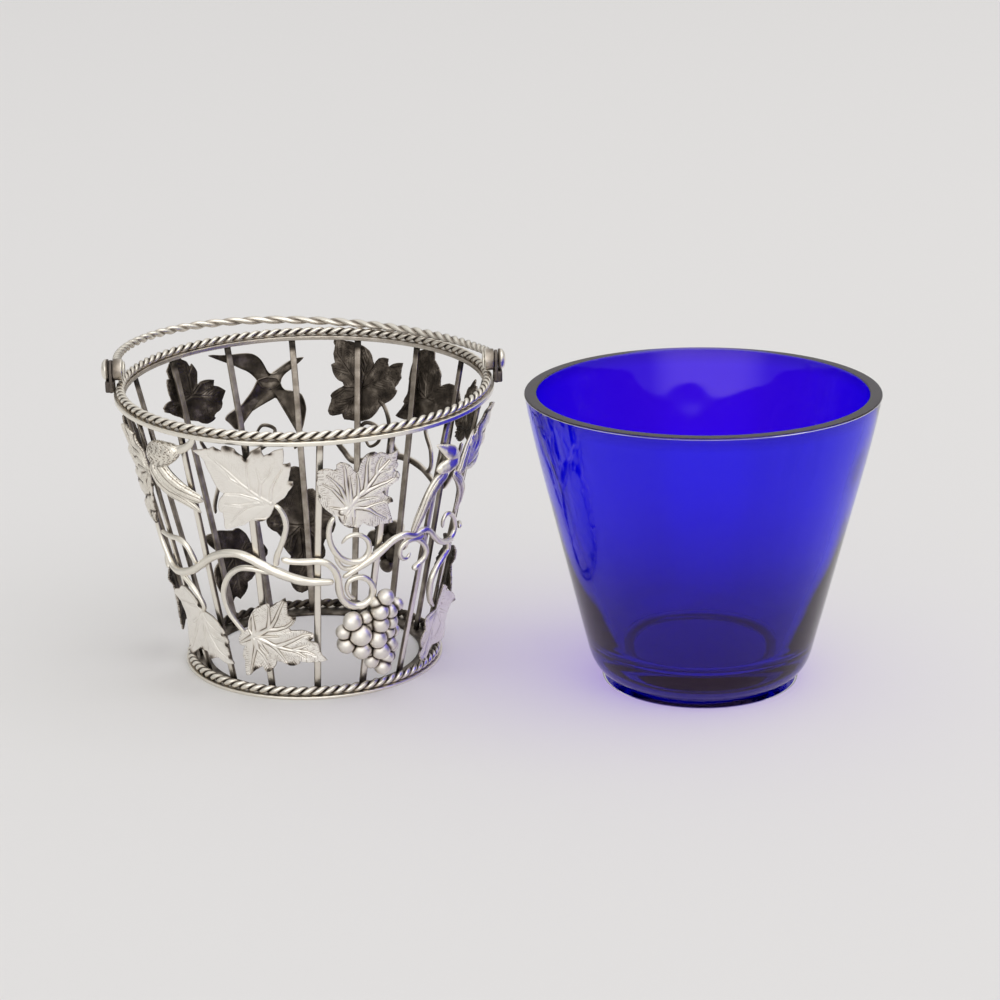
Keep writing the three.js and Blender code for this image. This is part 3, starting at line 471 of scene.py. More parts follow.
# The same for leaves at the back, seen from inside.
BACK_OUTLINE_PIXELS = {
    "leaf_back_left_high": [
        (168, 356), (178.5, 358), (180, 359.5), (184, 361), (187, 365.5), (188.5, 366), (190, 363.5),
        (193, 367), (195.3, 371), (195.2, 378), (194.8, 384.5), (196, 384.5), (199, 381.5), (203, 379.5),
        (207, 379.2), (212, 379.3), (211.5, 385), (217, 386), (221, 388), (225, 390.5), (223.5, 395),
        (221.5, 400), (222, 403), (221, 407), (219, 409.5), (215, 412), (213, 414), (212.5, 416),
        (214, 417), (212, 419.5), (210, 421), (206, 423), (201, 422.5), (197, 420.5), (193, 420),
        (188, 419.5), (183, 419), (178, 416.5), (173, 415), (169.5, 413), (164.5, 412), (164.5, 410.5),
        (163, 408.5), (165, 404), (168, 401.5), (169.5, 400.5), (169, 398), (167, 394), (165.7, 389),
        (165.3, 383), (166, 379.5), (168.5, 379), (167.5, 376), (166.5, 371.5), (168, 367.5),
        (169.5, 363),
    ],
    "leaf_back_right_high": [
        (334.5, 338.5), (338, 338), (342, 339.5), (346, 341), (352, 341.5), (357, 343), (362, 345),
        (366, 347), (370, 350.5), (372.5, 355), (373.5, 360), (375, 364.5), (376.5, 361), (379, 358.5),
        (383, 357.8), (388.5, 359), (388, 363), (389, 366.5), (393, 364), (397, 363), (403.2, 363),
        (402, 369), (401.5, 374), (402, 378), (400, 381), (398.5, 384), (396, 386.5), (396, 389),
        (397.5, 390.5), (396, 394), (393, 398), (390, 400.5), (385, 403), (382.5, 404.5), (380, 407),
        (378.5, 410), (376, 413), (373, 416), (370, 418), (366, 419.5), (360, 421), (354, 420),
        (350, 419), (345, 418.3), (343.5, 415), (343, 412.5), (338, 414), (333, 415), (330, 414),
        (328.3, 410.5), (329.5, 406), (331.5, 401), (332, 397.5), (331, 395), (333, 392), (338, 388.5),
        (343, 386), (345, 384.5), (343.5, 381), (339, 379), (336, 376), (333.5, 371.5), (332.5, 367),
        (331.5, 364.5), (335.5, 362.5), (334.5, 359), (333.5, 354), (334.5, 350), (335, 346),
        (333.5, 343),
    ],
    "leaf_back_low": [
        (290, 468), (295, 467), (300.5, 468.5), (304.5, 472), (305.5, 477), (303, 481), (299, 482),
        (298, 487), (301, 493.5), (304.5, 491.5), (308.5, 488.8), (313, 488.5), (316.5, 492),
        (318.5, 499), (323, 505.5), (329, 511), (334.5, 517), (335.5, 524), (333.5, 530.5), (329, 535),
        (325, 538.5), (323.5, 542.5), (325.5, 549), (325, 555), (321, 560), (320, 568), (316.5, 576),
        (312, 583), (307.5, 589.5), (302, 592.3), (297, 591), (293, 587), (290, 580), (288.5, 570),
        (290, 560), (290.5, 554.5), (286, 549.5), (283, 545), (283.5, 540.5), (280.5, 535.5),
        (276.5, 531), (271.5, 529), (267.5, 525.5), (266, 521), (267.5, 516), (271, 510.5), (274.5, 505),
        (280, 500), (285, 494), (288, 486), (289, 477),
    ],
    "leaf_back_left_low": [
        (205, 537), (208, 534.5), (213, 533.5), (217, 530.5), (225, 530.3), (231, 530), (234, 528),
        (237.5, 528), (241, 530), (245, 533.5), (247.5, 538), (249, 542), (254, 543), (258, 541),
        (263, 544), (267, 549.5), (267, 554), (262, 560), (257, 567), (252, 575), (248.5, 579),
        (246, 581), (246.5, 586), (245.5, 591), (243, 595), (240.5, 598.5), (236.5, 596), (234, 596.8),
        (232.5, 601), (231, 605), (226, 603), (222, 596), (218, 590), (215, 583), (213.5, 576),
        (214, 568), (217, 562), (218, 556), (214, 550), (209, 546), (205.5, 541.5),
    ],
    "leaf_right_back_high": [
        (417, 352), (424, 350), (431, 351), (434.5, 353), (434.8, 360), (437.5, 363), (440.5, 368),
        (442.8, 374), (442.5, 380), (442, 386.5), (445, 384.5), (449, 383.5), (454, 386), (458, 391),
        (460, 400), (458, 408), (450, 415), (440, 422), (430, 425), (420, 424), (412, 420), (406, 419),
        (400, 417), (396.5, 415), (399, 412), (403, 408), (406, 403), (405, 401), (406, 398), (409, 393),
        (411, 380), (412, 370), (414, 360),
    ],
}
# The place inside an outline that its rows are drawn in to.
LEAF_HUB_PIXELS = {
    "leaf_left_low": (199, 622),
    "leaf_right_low": (436, 622),
    "leaf_back_left_high": (190, 395),
    "leaf_back_right_high": (362, 388),
    "leaf_right_back_high": (428, 398),
    "leaf_back_low": (301, 525),
    "leaf_back_left_low": (232, 556),
}
# The swallow at the back, its wings and then its tail, each a hub and an outline.
SWALLOW_BLADE_PIXELS = [
    [
        (268, 377),
        [
            (206, 355.3), (211, 354.3), (220, 354.8), (232, 354), (240, 353), (247, 352.8), (252, 353.5),
            (257, 356), (261, 360), (264, 365), (266.5, 370), (269, 373.2), (273, 373), (277, 371),
            (281, 367), (285, 363), (290, 359.5), (296, 357.3), (304, 356.3), (300, 360.5), (295, 364.5),
            (291, 368), (286, 371.5), (283, 374.5), (280.5, 378), (279.8, 382), (275, 386), (268, 388),
            (261, 386), (257.5, 381), (254.5, 377), (250, 373), (245, 370), (239.5, 368), (233, 365),
            (227, 363), (220, 360.5), (213, 358),
        ],
    ],
    [
        (271, 389),
        [
            (257, 379), (266, 376), (276, 377), (279.8, 382), (281, 386), (284, 389), (288, 390.3),
            (293, 390.7), (297, 391), (301, 393), (304, 399), (306, 407), (305, 415), (303, 425),
            (300, 432), (296.5, 432), (294, 425), (291.5, 417), (287, 410), (283, 404), (279, 400),
            (275.5, 396.8), (274, 396.5), (270, 399), (263, 403), (256, 407), (250, 411), (246, 415),
            (243, 421), (240, 427), (236, 429), (233, 427.5), (231, 425), (228, 422), (223.5, 418.5),
            (226, 414.5), (230, 411.5), (236, 408.5), (241, 404), (244, 400), (249, 393.5), (253, 387),
            (255.5, 382),
        ],
    ],
]
# The veins of those leaves, each a thickness and a line.
LEAF_VEIN_PIXELS = {
    "leaf_right_low": [
        (1, [(440, 608), (444, 600), (442, 588)]),
        (1.2, [(440, 609), (435, 622), (431, 636), (424, 652), (419, 658)]),
        (1, [(439, 610), (441, 622), (436, 636)]), (0.9, [(439, 610), (431, 620), (427, 632)]),
        (0.8, [(440, 610), (444, 612), (446, 606)]), (0.8, [(437, 616), (434, 630), (431, 644)]),
    ],
    "leaf_left_low": [
        (1.2, [(200.5, 613), (204, 624), (209, 636), (218, 650), (231, 661)]),
        (1, [(202, 617), (207, 624), (213, 630), (224, 636)]),
        (0.9, [(207, 632), (214, 638), (227, 644)]), (1, [(200.5, 613), (192, 600), (182, 587)]),
        (1, [(200, 615), (196, 628), (194, 645), (193, 658)]),
        (0.8, [(203, 622), (203, 636), (208, 650)]), (0.8, [(196, 606), (190, 605), (182, 600)]),
        (0.8, [(198, 618), (192, 622), (187, 620)]),
    ],
    "leaf_front_left": [
        (1.2, [(270, 504), (256, 496), (240, 484), (228, 472), (220, 465), (209, 455)]),
        (0.9, [(259, 497), (260, 484), (269, 475), (274, 461)]),
        (0.8, [(260, 483), (258, 476), (255.5, 468)]),
        (0.9, [(270, 500), (271, 489), (275, 481), (282, 470)]),
        (0.8, [(249, 491), (247, 479), (246, 464)]),
        (0.9, [(264, 503), (254, 499), (240, 495), (224, 494)]),
        (0.9, [(262, 504), (254, 504), (240, 506), (225, 504)]),
        (0.9, [(258, 504), (246, 508), (237, 515), (230, 524)]),
        (0.8, [(238, 484), (230, 479), (223, 467)]),
    ],
    "leaf_front_right": [
        (
            1.5,
            [
                (343, 513), (350, 507.5), (354.5, 502.5), (358, 498), (362.5, 493.5), (366.5, 489.5),
                (370, 485), (374, 479.5), (377.5, 474), (380, 470.5), (384, 466), (389, 460),
            ],
        ),
        (1, [(377.5, 474), (377, 469), (378.5, 463), (381, 457)]),
        (0.9, [(378, 473), (383, 471), (390, 469)]),
        (1.1, [(366, 489), (367, 480), (367, 472), (367, 464), (369, 454)]),
        (0.9, [(359, 496), (359, 488), (358.5, 480), (357.5, 475)]),
        (1.2, [(363, 494.5), (371, 489.5), (380, 485), (387, 482), (393, 478)]),
        (0.9, [(355, 502), (362, 500), (371, 498.5), (378, 497.5)]),
        (1.1, [(350.5, 508.5), (358, 508.5), (365.5, 509), (375, 505), (387, 501)]),
        (1, [(365.5, 509), (371, 510.5), (377, 514.5), (387, 519)]),
        (1, [(354, 510), (354.5, 518), (354.5, 526)]), (1, [(352, 504), (351, 490), (349.5, 476)]),
        (1, [(350, 506), (346.5, 484), (345, 470), (343, 464)]),
        (1, [(349, 506), (341, 489), (335.5, 483), (327, 476)]),
        (0.9, [(347, 505), (333, 490), (323, 485)]), (0.9, [(348, 509), (341, 510), (330, 508)]),
        (0.8, [(350, 511), (346, 517), (345, 524)]),
    ],
    "leaf_front_low": [
        (1.2, [(253, 636), (252.5, 626), (251, 614)]),
        (0.9, [(252, 636), (247.5, 630), (248, 621), (251, 614)]),
        (
            1.3,
            [
                (254, 636.5), (260, 634), (266.5, 630.5), (271, 627), (275.5, 619.5), (279, 611),
                (284, 600),
            ],
        ),
        (1, [(268, 629), (269, 619), (269, 608)]),
        (1.1, [(268, 630.5), (277, 630), (285, 628), (290, 624.5), (294, 619)]),
        (
            1.4,
            [
                (255, 638), (260, 640), (266, 642.5), (272, 645.5), (280, 648), (287, 649.5),
                (293.5, 650.5), (300, 653), (306, 656.5),
            ],
        ),
        (0.9, [(294, 650.5), (300, 650.5), (307, 651), (315, 654)]),
        (0.9, [(294, 650), (299, 648), (310, 644.5)]),
        (1.1, [(276, 647), (285, 644), (294, 640), (303, 635.5), (311, 634)]),
        (1.1, [(270.5, 645), (276, 649.5), (281, 655), (287, 663)]),
        (1.1, [(254.5, 640), (257, 649.5), (263, 656), (270, 668)]),
        (0.9, [(258, 642), (263, 649), (267, 654)]),
        (1.1, [(253.5, 640), (255, 648), (253, 658), (251, 672)]),
        (1.1, [(251, 637.5), (244, 641), (239, 643)]), (0.9, [(256, 638), (266, 637), (278, 637)]),
    ],
}
# Where a leaf's rim is curled over and painted dark, as the shade under the curl: the middle of the
# spot and its size, in pixels.
LEAF_SHADE_PIXELS = {
    "leaf_right_low": [(447, 600, 2), (424, 627, 2.5), (420, 658, 2)],
    "leaf_left_low": [
        (222.5, 634.5, 3), (227, 645, 3), (214, 657.5, 5), (195, 653, 5), (203, 649, 3), (199, 606, 3),
        (231, 657, 2.5),
    ],
    "leaf_front_left": [
        (229, 446.5, 6), (238, 451, 4), (258, 450, 5), (217.5, 447.5, 3.5), (287.5, 464.5, 3),
        (291, 484, 2.5), (261, 521.5, 5), (246, 459, 3), (270, 452.5, 2.5),
    ],
    "leaf_front_right": [(391, 499, 4), (370, 452, 3.5), (352, 526, 5), (341, 520, 4)],
    "leaf_front_low": [
        (292, 664, 5), (311, 638.5, 3), (286.5, 598, 3), (256, 668, 5), (270, 670, 3.5), (294, 617.5, 2),
    ],
}

# Berries of the front bunch, drawn over the picture: place in pixels, radius and bulge in berry radii.
GRAPE_FRONT_PIXELS = [
    (385.4, 597.1, 0.9, 0.2), (397.1, 604.6, 0.75, 0), (378.6, 610.5, 0.95, 0.5),
    (389.6, 610.2, 0.85, 0.3), (352.1, 620.7, 1, 0.2), (378.6, 622.5, 0.95, 0.75),
    (389.6, 620.5, 0.85, 0.4), (366.2, 617.5, 0.72, 0.3), (344.4, 632.3, 0.85, 0),
    (358.8, 633.2, 1.18, 0.5), (375.4, 636.6, 1.05, 0.7), (387.3, 630.6, 0.8, 0.5),
    (394.2, 630.6, 0.7, 0.1), (346, 644.3, 0.98, 0), (360.4, 648.4, 1.05, 0.45), (379, 648.6, 1, 0.65),
    (388, 642.2, 0.85, 0.4), (393.4, 645.5, 0.7, 0), (371.4, 660, 0.85, 0.2), (386.3, 656.8, 0.8, 0.3),
    (391.2, 656, 0.65, 0), (382.2, 665.4, 0.95, 0.1), (368.5, 625.5, 0.7, 0.3), (369.5, 650.5, 0.7, 0.1),
    (377, 603.5, 0.7, 0.1), (351.5, 640.5, 0.8, 0.1), (384, 637, 0.7, 0.3),
]

# The two birds at the sides, drawn over the picture: smooth bodies, each a line of places in pixels
# with radii in bird radii, and what is worked into it.
BIRD_BODY_PIXELS = {
    "bird_left": [
        (
            "scales",
            [
                (151, 452, 0.5), (154, 452.5, 0.95), (159, 453, 1.12), (165, 453, 1.05), (171, 452, 0.8),
                (177, 450.5, 0.45),
            ],
        ),
        (
            "plain",
            [
                (172, 451.5, 0.5), (178, 450.3, 0.38), (184, 448, 0.34), (188.3, 444, 0.3),
                (190.3, 439.5, 0.24), (190.6, 436, 0.12),
            ],
        ),
        (
            "feathers",
            [
                (156, 460, 0.5), (160, 468, 0.66), (167, 478, 0.66), (177, 487.5, 0.6), (188, 495.5, 0.5),
                (197, 500.5, 0.36), (201, 503, 0.12),
            ],
        ),
        (
            "feathers",
            [
                (149, 462, 0.3), (152, 470, 0.5), (159, 480.5, 0.58), (169, 490.5, 0.55),
                (180, 499, 0.42), (190, 507, 0.28), (198, 514.5, 0.1),
            ],
        ),
    ],
    "bird_right": [
        (
            "plain",
            [
                (440.8, 446.4, 0.1), (444, 447.8, 0.28), (448, 450, 0.52), (452.5, 452.5, 0.68),
                (457, 456, 0.6), (460, 461, 0.4),
            ],
        ),
        (
            "plain",
            [
                (439.5, 471.5, 0.25), (443, 469.5, 0.5), (448.5, 465.5, 0.7), (454, 461, 0.72),
                (459, 462, 0.5),
            ],
        ),
        (
            "feathers",
            [
                (461, 474, 0.42), (464, 467, 0.5), (467, 458, 0.46), (471, 447, 0.42), (475.5, 437, 0.36),
                (479.5, 429.5, 0.16),
            ],
        ),
        (
            "feathers",
            [
                (450, 470, 0.3), (446, 475.5, 0.46), (439, 483, 0.52), (432.5, 494, 0.5),
                (426.5, 507, 0.46), (420.5, 521, 0.42), (416, 534, 0.3),
            ],
        ),
        (
            "feathers",
            [(457, 473, 0.3), (461.5, 480, 0.5), (463, 489, 0.52), (461.5, 500, 0.42), (459, 512, 0.2)],
        ),
    ],
}
# Stems and curls read from the picture: places in its pixels, and the wire's thickness as a share.
VINE_ROUTE_PIXELS = {
    "vine_front": [
        [
            (161, 531, 0.6), (169, 536, 0.75), (180, 540, 0.8), (187, 547, 0.8), (192, 556, 0.8),
            (196, 564, 0.8),
        ],
        [
            (152, 506, 0.6), (156, 521, 0.7), (161, 537, 0.8), (167, 552, 0.9), (172.5, 564.5, 1),
            (178, 570, 1.1), (186, 571.5, 1.15), (194, 569.5, 1.15), (201, 565, 1.15), (209, 559, 1.15),
            (217, 555, 1.15), (228, 553, 1.15), (240, 554, 1.2), (251, 558.5, 1.25), (263, 565, 1.3),
            (277, 571.5, 1.4), (291, 577, 1.4), (303, 580.5, 1.3), (318, 582, 1.1), (334, 582, 0.9),
        ],
        [
            (273, 504.5, 0.5), (279, 509, 0.7), (284, 517, 0.8), (286, 527, 0.8), (284, 537, 0.8),
            (280.5, 547, 0.8), (277, 556, 0.85), (276, 566, 0.9),
        ],
        [
            (281, 559, 0.8), (290, 561.5, 0.9), (304, 562, 0.95), (318, 561.5, 0.95), (327, 563.5, 0.95),
            (334, 569.5, 1), (338, 578, 1.05), (339, 588, 1.1), (341.5, 597, 1.1), (347.5, 603.5, 1.1),
            (356, 606, 1.1), (365, 603.5, 1.1), (371.5, 597, 1.05), (373, 588, 1), (369.5, 581, 0.9),
            (363, 577.5, 0.85), (355.5, 578, 0.8), (349, 582, 0.7), (347, 589, 0.6), (350, 596, 0.55),
            (356, 599.5, 0.5),
        ],
        [
            (290, 576, 0.8), (275, 573, 0.85), (262, 571, 0.85), (250, 568.5, 0.85), (240, 568.5, 0.85),
            (231, 573.5, 0.85), (225.5, 582, 0.85), (223.5, 592, 0.85), (225.5, 603, 0.8),
            (230, 614, 0.8), (237, 624, 0.75), (246, 635, 0.6),
        ],
    ],
    "tendril_front": [
        [
            (335, 517, 0.6), (331, 523, 0.75), (329, 532, 0.8), (330, 541, 0.85), (334.5, 551, 0.9),
            (341.5, 558.5, 0.9), (350, 562, 0.9), (359, 561.5, 0.9), (366, 557, 0.85),
            (369.5, 549.5, 0.8), (368.5, 541.5, 0.75), (363, 536.5, 0.7), (355, 535, 0.65),
            (347.5, 538, 0.55), (342, 544.5, 0.4),
        ],
    ],
    "vine_right": [
        [
            (343, 578, 0.6), (350, 573.5, 0.8), (361, 566, 1), (372, 557.5, 1.3), (383, 548.5, 1.15),
            (394, 539.5, 1), (405, 534.5, 0.95), (415, 535, 0.9), (421, 531.5, 0.9), (426, 529.5, 0.9),
            (430.5, 531.5, 0.9), (434.5, 536.5, 0.9), (439.5, 541, 0.9), (446, 541.5, 0.9),
            (451.5, 537.5, 0.85), (455, 529, 0.8), (455, 520, 0.75), (451.5, 514, 0.7),
            (447.5, 514.5, 0.6), (444.5, 520, 0.55), (444, 528, 0.45),
        ],
        [
            (335.5, 554, 0.5), (338, 562, 0.6), (344, 568.5, 0.65), (352, 568.5, 0.65), (361, 564, 0.65),
            (370, 558.5, 0.7),
        ],
    ],
    "tendril_right": [
        [
            (425, 534, 0.6), (420, 538, 0.75), (413, 539.5, 0.8), (406, 542.5, 0.8), (401.5, 548, 0.75),
            (400.5, 554.5, 0.7), (404, 559, 0.6), (408.5, 558, 0.5), (411.5, 553, 0.4),
        ],
        [
            (417, 538.5, 0.7), (423.5, 543, 0.85), (426.5, 550, 0.85), (424.5, 557.5, 0.85),
            (419, 564, 0.8), (412.5, 569.5, 1),
        ],
    ],
    "vine_low_right": [
        [
            (449, 541, 0.7), (448.5, 549, 0.8), (443, 558, 0.85), (436.5, 568, 0.9), (431.5, 579, 0.95),
            (429.5, 591, 0.95), (430.5, 600, 0.8), (434, 606.5, 0.6),
        ],
    ],
    "vine_low_left": [
        [
            (181, 571.5, 0.8), (186, 579, 0.8), (193, 588, 0.8), (199.5, 598, 0.75), (203.5, 607, 0.7),
            (201.5, 613, 0.6),
        ],
    ],
}

# Stems and curls at the back and the sides: degrees round, share of the uprights' height, and the
# wire's thickness as a share.
VINE_ROUTE_SHARES = {
    "vine_back": [
        [
            [31.5, 0.505, 0.8], [36.5, 0.54, 0.9], [45.9, 0.578, 1], [54.9, 0.59, 1.05],
            [66, 0.565, 1.05], [74, 0.555, 1], [78, 0.595, 0.9], [82, 0.638, 0.85], [88, 0.652, 0.8],
            [94, 0.64, 0.75], [96.6, 0.6, 0.6],
        ],
        [[43.6, 0.76, 0.55], [43, 0.706, 0.65], [38.5, 0.633, 0.7], [37.6, 0.58, 0.7], [40, 0.55, 0.7]],
        [[64.7, 0.79, 0.55], [62.5, 0.77, 0.65], [60.3, 0.724, 0.7], [58.8, 0.654, 0.7], [54, 0.59, 0.7]],
        [[55, 0.585, 0.7], [61, 0.5, 0.65], [61.5, 0.43, 0.6], [57.5, 0.365, 0.5]],
    ],
    "tendril_back": [
        [
            [72.5, 0.6, 0.6], [72.8, 0.65, 0.65], [69.5, 0.7, 0.65], [64.6, 0.69, 0.6],
            [63.4, 0.64, 0.55], [67, 0.615, 0.5], [69.3, 0.645, 0.4],
        ],
    ],
    "vine_back_left": [
        [
            [134.5, 0.69, 0.55], [131, 0.63, 0.7], [124, 0.585, 0.8], [114, 0.6, 0.8], [106, 0.635, 0.7],
            [103.5, 0.68, 0.6], [108, 0.7, 0.55], [111, 0.67, 0.4],
        ],
        [[126, 0.59, 0.75], [129, 0.52, 0.7], [133.5, 0.44, 0.65], [134, 0.41, 0.55]],
    ],
    "vine_left_low": [[[190, 0.37, 0.7], [183, 0.385, 0.75], [178, 0.37, 0.7], [176.2, 0.343, 0.6]]],
    "vine_right_side": [[[357, 0.47, 0.7], [2, 0.47, 0.75], [8, 0.43, 0.7], [9, 0.375, 0.6]]],
    "vine_right_high": [[[28.3, 0.525, 0.8], [24, 0.575, 0.75], [20.5, 0.65, 0.7], [19.4, 0.725, 0.55]]],
}

# Leaves: their lengths, where a leaf is laid whose hub isn't read from the picture, and the way that
# one with lobes points, in degrees, with each lobe's share of its length.
LARGE_LEAF = 16.4
MIDDLE_LEAF = 14.2
SMALL_LEAF = 12
BUD_LEAF = 9.4
LEAF_LENGTHS = {
    "leaf_front_left": LARGE_LEAF,
    "leaf_front_right": LARGE_LEAF,
    "leaf_front_low": MIDDLE_LEAF,
    "leaf_left_low": SMALL_LEAF,
    "leaf_right_low": BUD_LEAF,
    "leaf_back_left_high": MIDDLE_LEAF,
    "leaf_back_right_high": MIDDLE_LEAF,
    "leaf_right_back_high": SMALL_LEAF,
    "leaf_right_high": BUD_LEAF,
    "leaf_back_left_low": MIDDLE_LEAF,
    "leaf_back_low": LARGE_LEAF,
    "leaf_left_side": SMALL_LEAF,
    "leaf_left_high": SMALL_LEAF,
    "leaf_right_side": SMALL_LEAF,
}
LEAF_PLACE_SHARES = {
    "leaf_front_left": (257.8, 0.767),
    "leaf_front_right": (283.6, 0.729),
    "leaf_front_low": (245.6, 0.222),
    "leaf_right_high": (19, 0.775),
    "leaf_left_side": (176, 0.3),
    "leaf_left_high": (174, 0.71),
    "leaf_right_side": (9, 0.33),
}
LEAF_LOBE_SHARES = {
    "leaf_back_left_high": (90, [0.5, 0.62, 1, 0.82, 0.55]),
    "leaf_back_right_high": (51, [0.58, 0.82, 0.92, 0.7, 0.55]),
    "leaf_right_back_high": (84, [0.7, 0.6, 0.8, 0.68, 0.5]),
    "leaf_right_high": (72, [0.6, 0.75, 1, 0.7, 0.6]),
    "leaf_back_left_low": (-90, [0.5, 0.7, 1, 0.7, 0.5]),
    "leaf_back_low": (-92, [0.5, 0.6, 1.1, 0.6, 0.5]),
    "leaf_left_side": (-92, [0.55, 0.7, 1, 0.7, 0.55]),
    "leaf_left_high": (96, [0.55, 0.7, 1, 0.7, 0.55]),
    "leaf_right_side": (-86, [0.55, 0.72, 1, 0.7, 0.55]),
}

# The wings of the two birds at the sides: places on the cage round the edge, and the middle.
WING_SHARES = {
    "bird_left": {
        "edge": [
            [211, 0.82], [211, 0.87], [208.5, 0.93], [204.5, 0.97], [199, 0.965], [200, 0.9],
            [196.5, 0.86], [199, 0.8], [196.5, 0.75], [200.5, 0.7], [199.5, 0.65], [205, 0.6],
            [206.5, 0.67], [208.5, 0.75],
        ],
        "middle": [205, 0.82],
    },
    "bird_right": {
        "edge": [
            [333, 0.79], [336, 0.77], [340.5, 0.765], [345.5, 0.775], [345.5, 0.81], [350.5, 0.83],
            [349, 0.86], [353, 0.89], [350.5, 0.92], [354, 0.96], [349, 0.97], [342, 0.94], [336, 0.9],
            [333, 0.86],
        ],
        "middle": [340, 0.85],
    },
}

# The bunch at the back: its rows of berries, each a count and a shift in berry widths.
GRAPE_BACK_SHARES = {"azimuth": 57.5, "top": 0.31, "rows": [[2, 0], [3, 0], [2, 0], [1, 0]]}


def smooth_step(low, high, value):
    """0 up to low, 1 from high on, and a smooth S between them."""
    share = np.clip((value - low) / (high - low), 0, 1)
    return share * share * (3 - 2 * share)


def cage_radius(share):
    """The radius of the uprights' outer faces, which grows evenly from the foot to the head."""
    return CAGE_FOOT_RADIUS + (CAGE_HEAD_RADIUS - CAGE_FOOT_RADIUS) * share


def on_cage(azimuth, share, out):
    """Points on the cone of the uprights' outer faces: degrees round, share of the uprights'
    height, and millimetres outwards."""
    radius = cage_radius(share) + out
    angle = np.radians(azimuth)
    height = UPRIGHT_BOTTOM + UPRIGHT_HEIGHT * share
    return np.stack(np.broadcast_arrays(radius * np.cos(angle), radius * np.sin(angle), height), axis=-1)


def level_way(angle):
    """The level directions away from the axis at angles round it."""
    return np.stack([np.cos(angle), np.sin(angle), 0 * angle], -1)


def unit(vectors):
    """Vectors brought to length one."""
    return vectors / np.linalg.norm(vectors, axis=-1, keepdims=True)


def patch(points, is_loop=False, tone_and_shade=0.0, tooling=0.0, hatching=0.0):
    """Rows of points round a closed section. The first of the numbers, how dark each point is, runs from
    bright silver at 0 to black at 1: the oxide of the silver together with painted shade. tooling is
    how strongly it is chased with small marks, and hatching how many millimetres along its chased
    lines it lies. Seen along the rows' direction, a row's points go clockwise as a right-handed screw does."""
    shape = points.shape[:2]
    return {
        "points": points,
        "is_loop": is_loop,
        "tone_and_shade": np.broadcast_to(tone_and_shade, shape),
        "tooling": np.broadcast_to(tooling, shape),
        "hatching": np.broadcast_to(hatching, shape),
    }


def faces_of(made, start):
    """The four-sided faces between a patch's rows, and the fans that close its two ends."""
    rows, sides = made["points"].shape[:2]
    index = start + np.arange(rows * sides).reshape(rows, sides)
    if made["is_loop"]:
        here, onwards = index, np.roll(index, -1, axis=0)
    else:
        here, onwards = index[:-1], index[1:]
    quads = np.stack([here, np.roll(here, -1, 1), np.roll(onwards, -1, 1), onwards], -1).reshape(-1, 4)
    if made["is_loop"]:
        return quads, np.zeros((0, 3), int)
    hub = start + rows * sides
    first, last = index[0], index[-1]
    opening = np.stack([np.full(sides, hub), np.roll(first, -1), first], -1)
    closing = np.stack([np.full(sides, hub + 1), last, np.roll(last, -1)], -1)
    return quads, np.concatenate([opening, closing])


def leaning(points, body):
    """The lean of handwork: towards its top the pail's rim, and the bail with it, dips to the front,
    and the liner's rim to the back. A point rises by its distance behind the piece's own axis, times
    the lean, times the share of the height that it stands at."""
    middle, lean = LEANS[body]
    rise = (points[:, 1] - middle) * math.tan(math.radians(lean)) * points[:, 2] / PIVOT_HEIGHT
    return points + np.column_stack([0 * rise, 0 * rise, rise])


def build(name, patches, material, body, replaces=()):
    """One piece from closed patches: its mesh in metres, its shading attributes, its material, the
    body that it rides on and the frame's nodes that it stands for."""
    points, quads, fans = [], [], []
    shading = {title: [] for title in SHADING}
    count = 0
    for made in patches:
        more_quads, more_fans = faces_of(made, count)
        quads.append(more_quads)
        fans.append(more_fans)
        points.append(made["points"].reshape(-1, 3))
        for title in SHADING:
            shading[title].append(made[title].reshape(-1))
        count += len(points[-1])
        if not made["is_loop"]:
            ends = [0, -1]
            points.append(made["points"][ends].mean(axis=1))
            for title in SHADING:
                shading[title].append(made[title][ends].mean(axis=1))
            count += len(ends)
    quads, fans = np.concatenate(quads), np.concatenate(fans)
    mesh = bpy.data.meshes.new(name)
    mesh.vertices.add(count)
    points = leaning(np.concatenate(points), body)
    mesh.vertices.foreach_set("co", (points * MM).astype(np.float32).ravel())
    mesh.loops.add(quads.size + fans.size)
    mesh.loops.foreach_set("vertex_index", np.concatenate([quads.ravel(), fans.ravel()]).astype(np.int32))
    mesh.polygons.add(len(quads) + len(fans))
    starts = np.concatenate([np.arange(len(quads)) * 4, quads.size + np.arange(len(fans)) * 3])
    mesh.polygons.foreach_set("loop_start", starts.astype(np.int32))
    mesh.update(calc_edges=True)
    mesh.shade_smooth()
    for title in SHADING:
        attribute = mesh.attributes.new(title, "FLOAT", "POINT")
        attribute.data.foreach_set("value", np.concatenate(shading[title]).astype(np.float32))
    mesh.materials.append(material)
    piece = bpy.data.objects.new(name, mesh)
    bpy.context.scene.collection.objects.link(piece)
    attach(piece, body)
    if replaces:
        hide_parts(*replaces)
    return piece


def eased(outline, ease, steps=4, is_closed=True):
    """An outline with its corners rounded. Each corner is swapped for a quadratic arc between the
    two points that lie its ease along its sides. An open outline keeps its two ends."""
    outline = np.asarray(outline, float)
    ease = np.broadcast_to(ease, len(outline))
    parts = []
    for i, corner in enumerate(outline):
        if not is_closed and i in (0, len(outline) - 1):
            parts.append(corner[None])
            continue
        before = corner + unit(outline[i - 1] - corner) * ease[i]
        after = corner + unit(outline[(i + 1) % len(outline)] - corner) * ease[i]
        t = np.linspace(0, 1, steps + 1)[:, None]
        parts.append((1 - t) ** 2 * before + 2 * t * (1 - t) * corner + t**2 * after)
    return np.concatenate(parts)


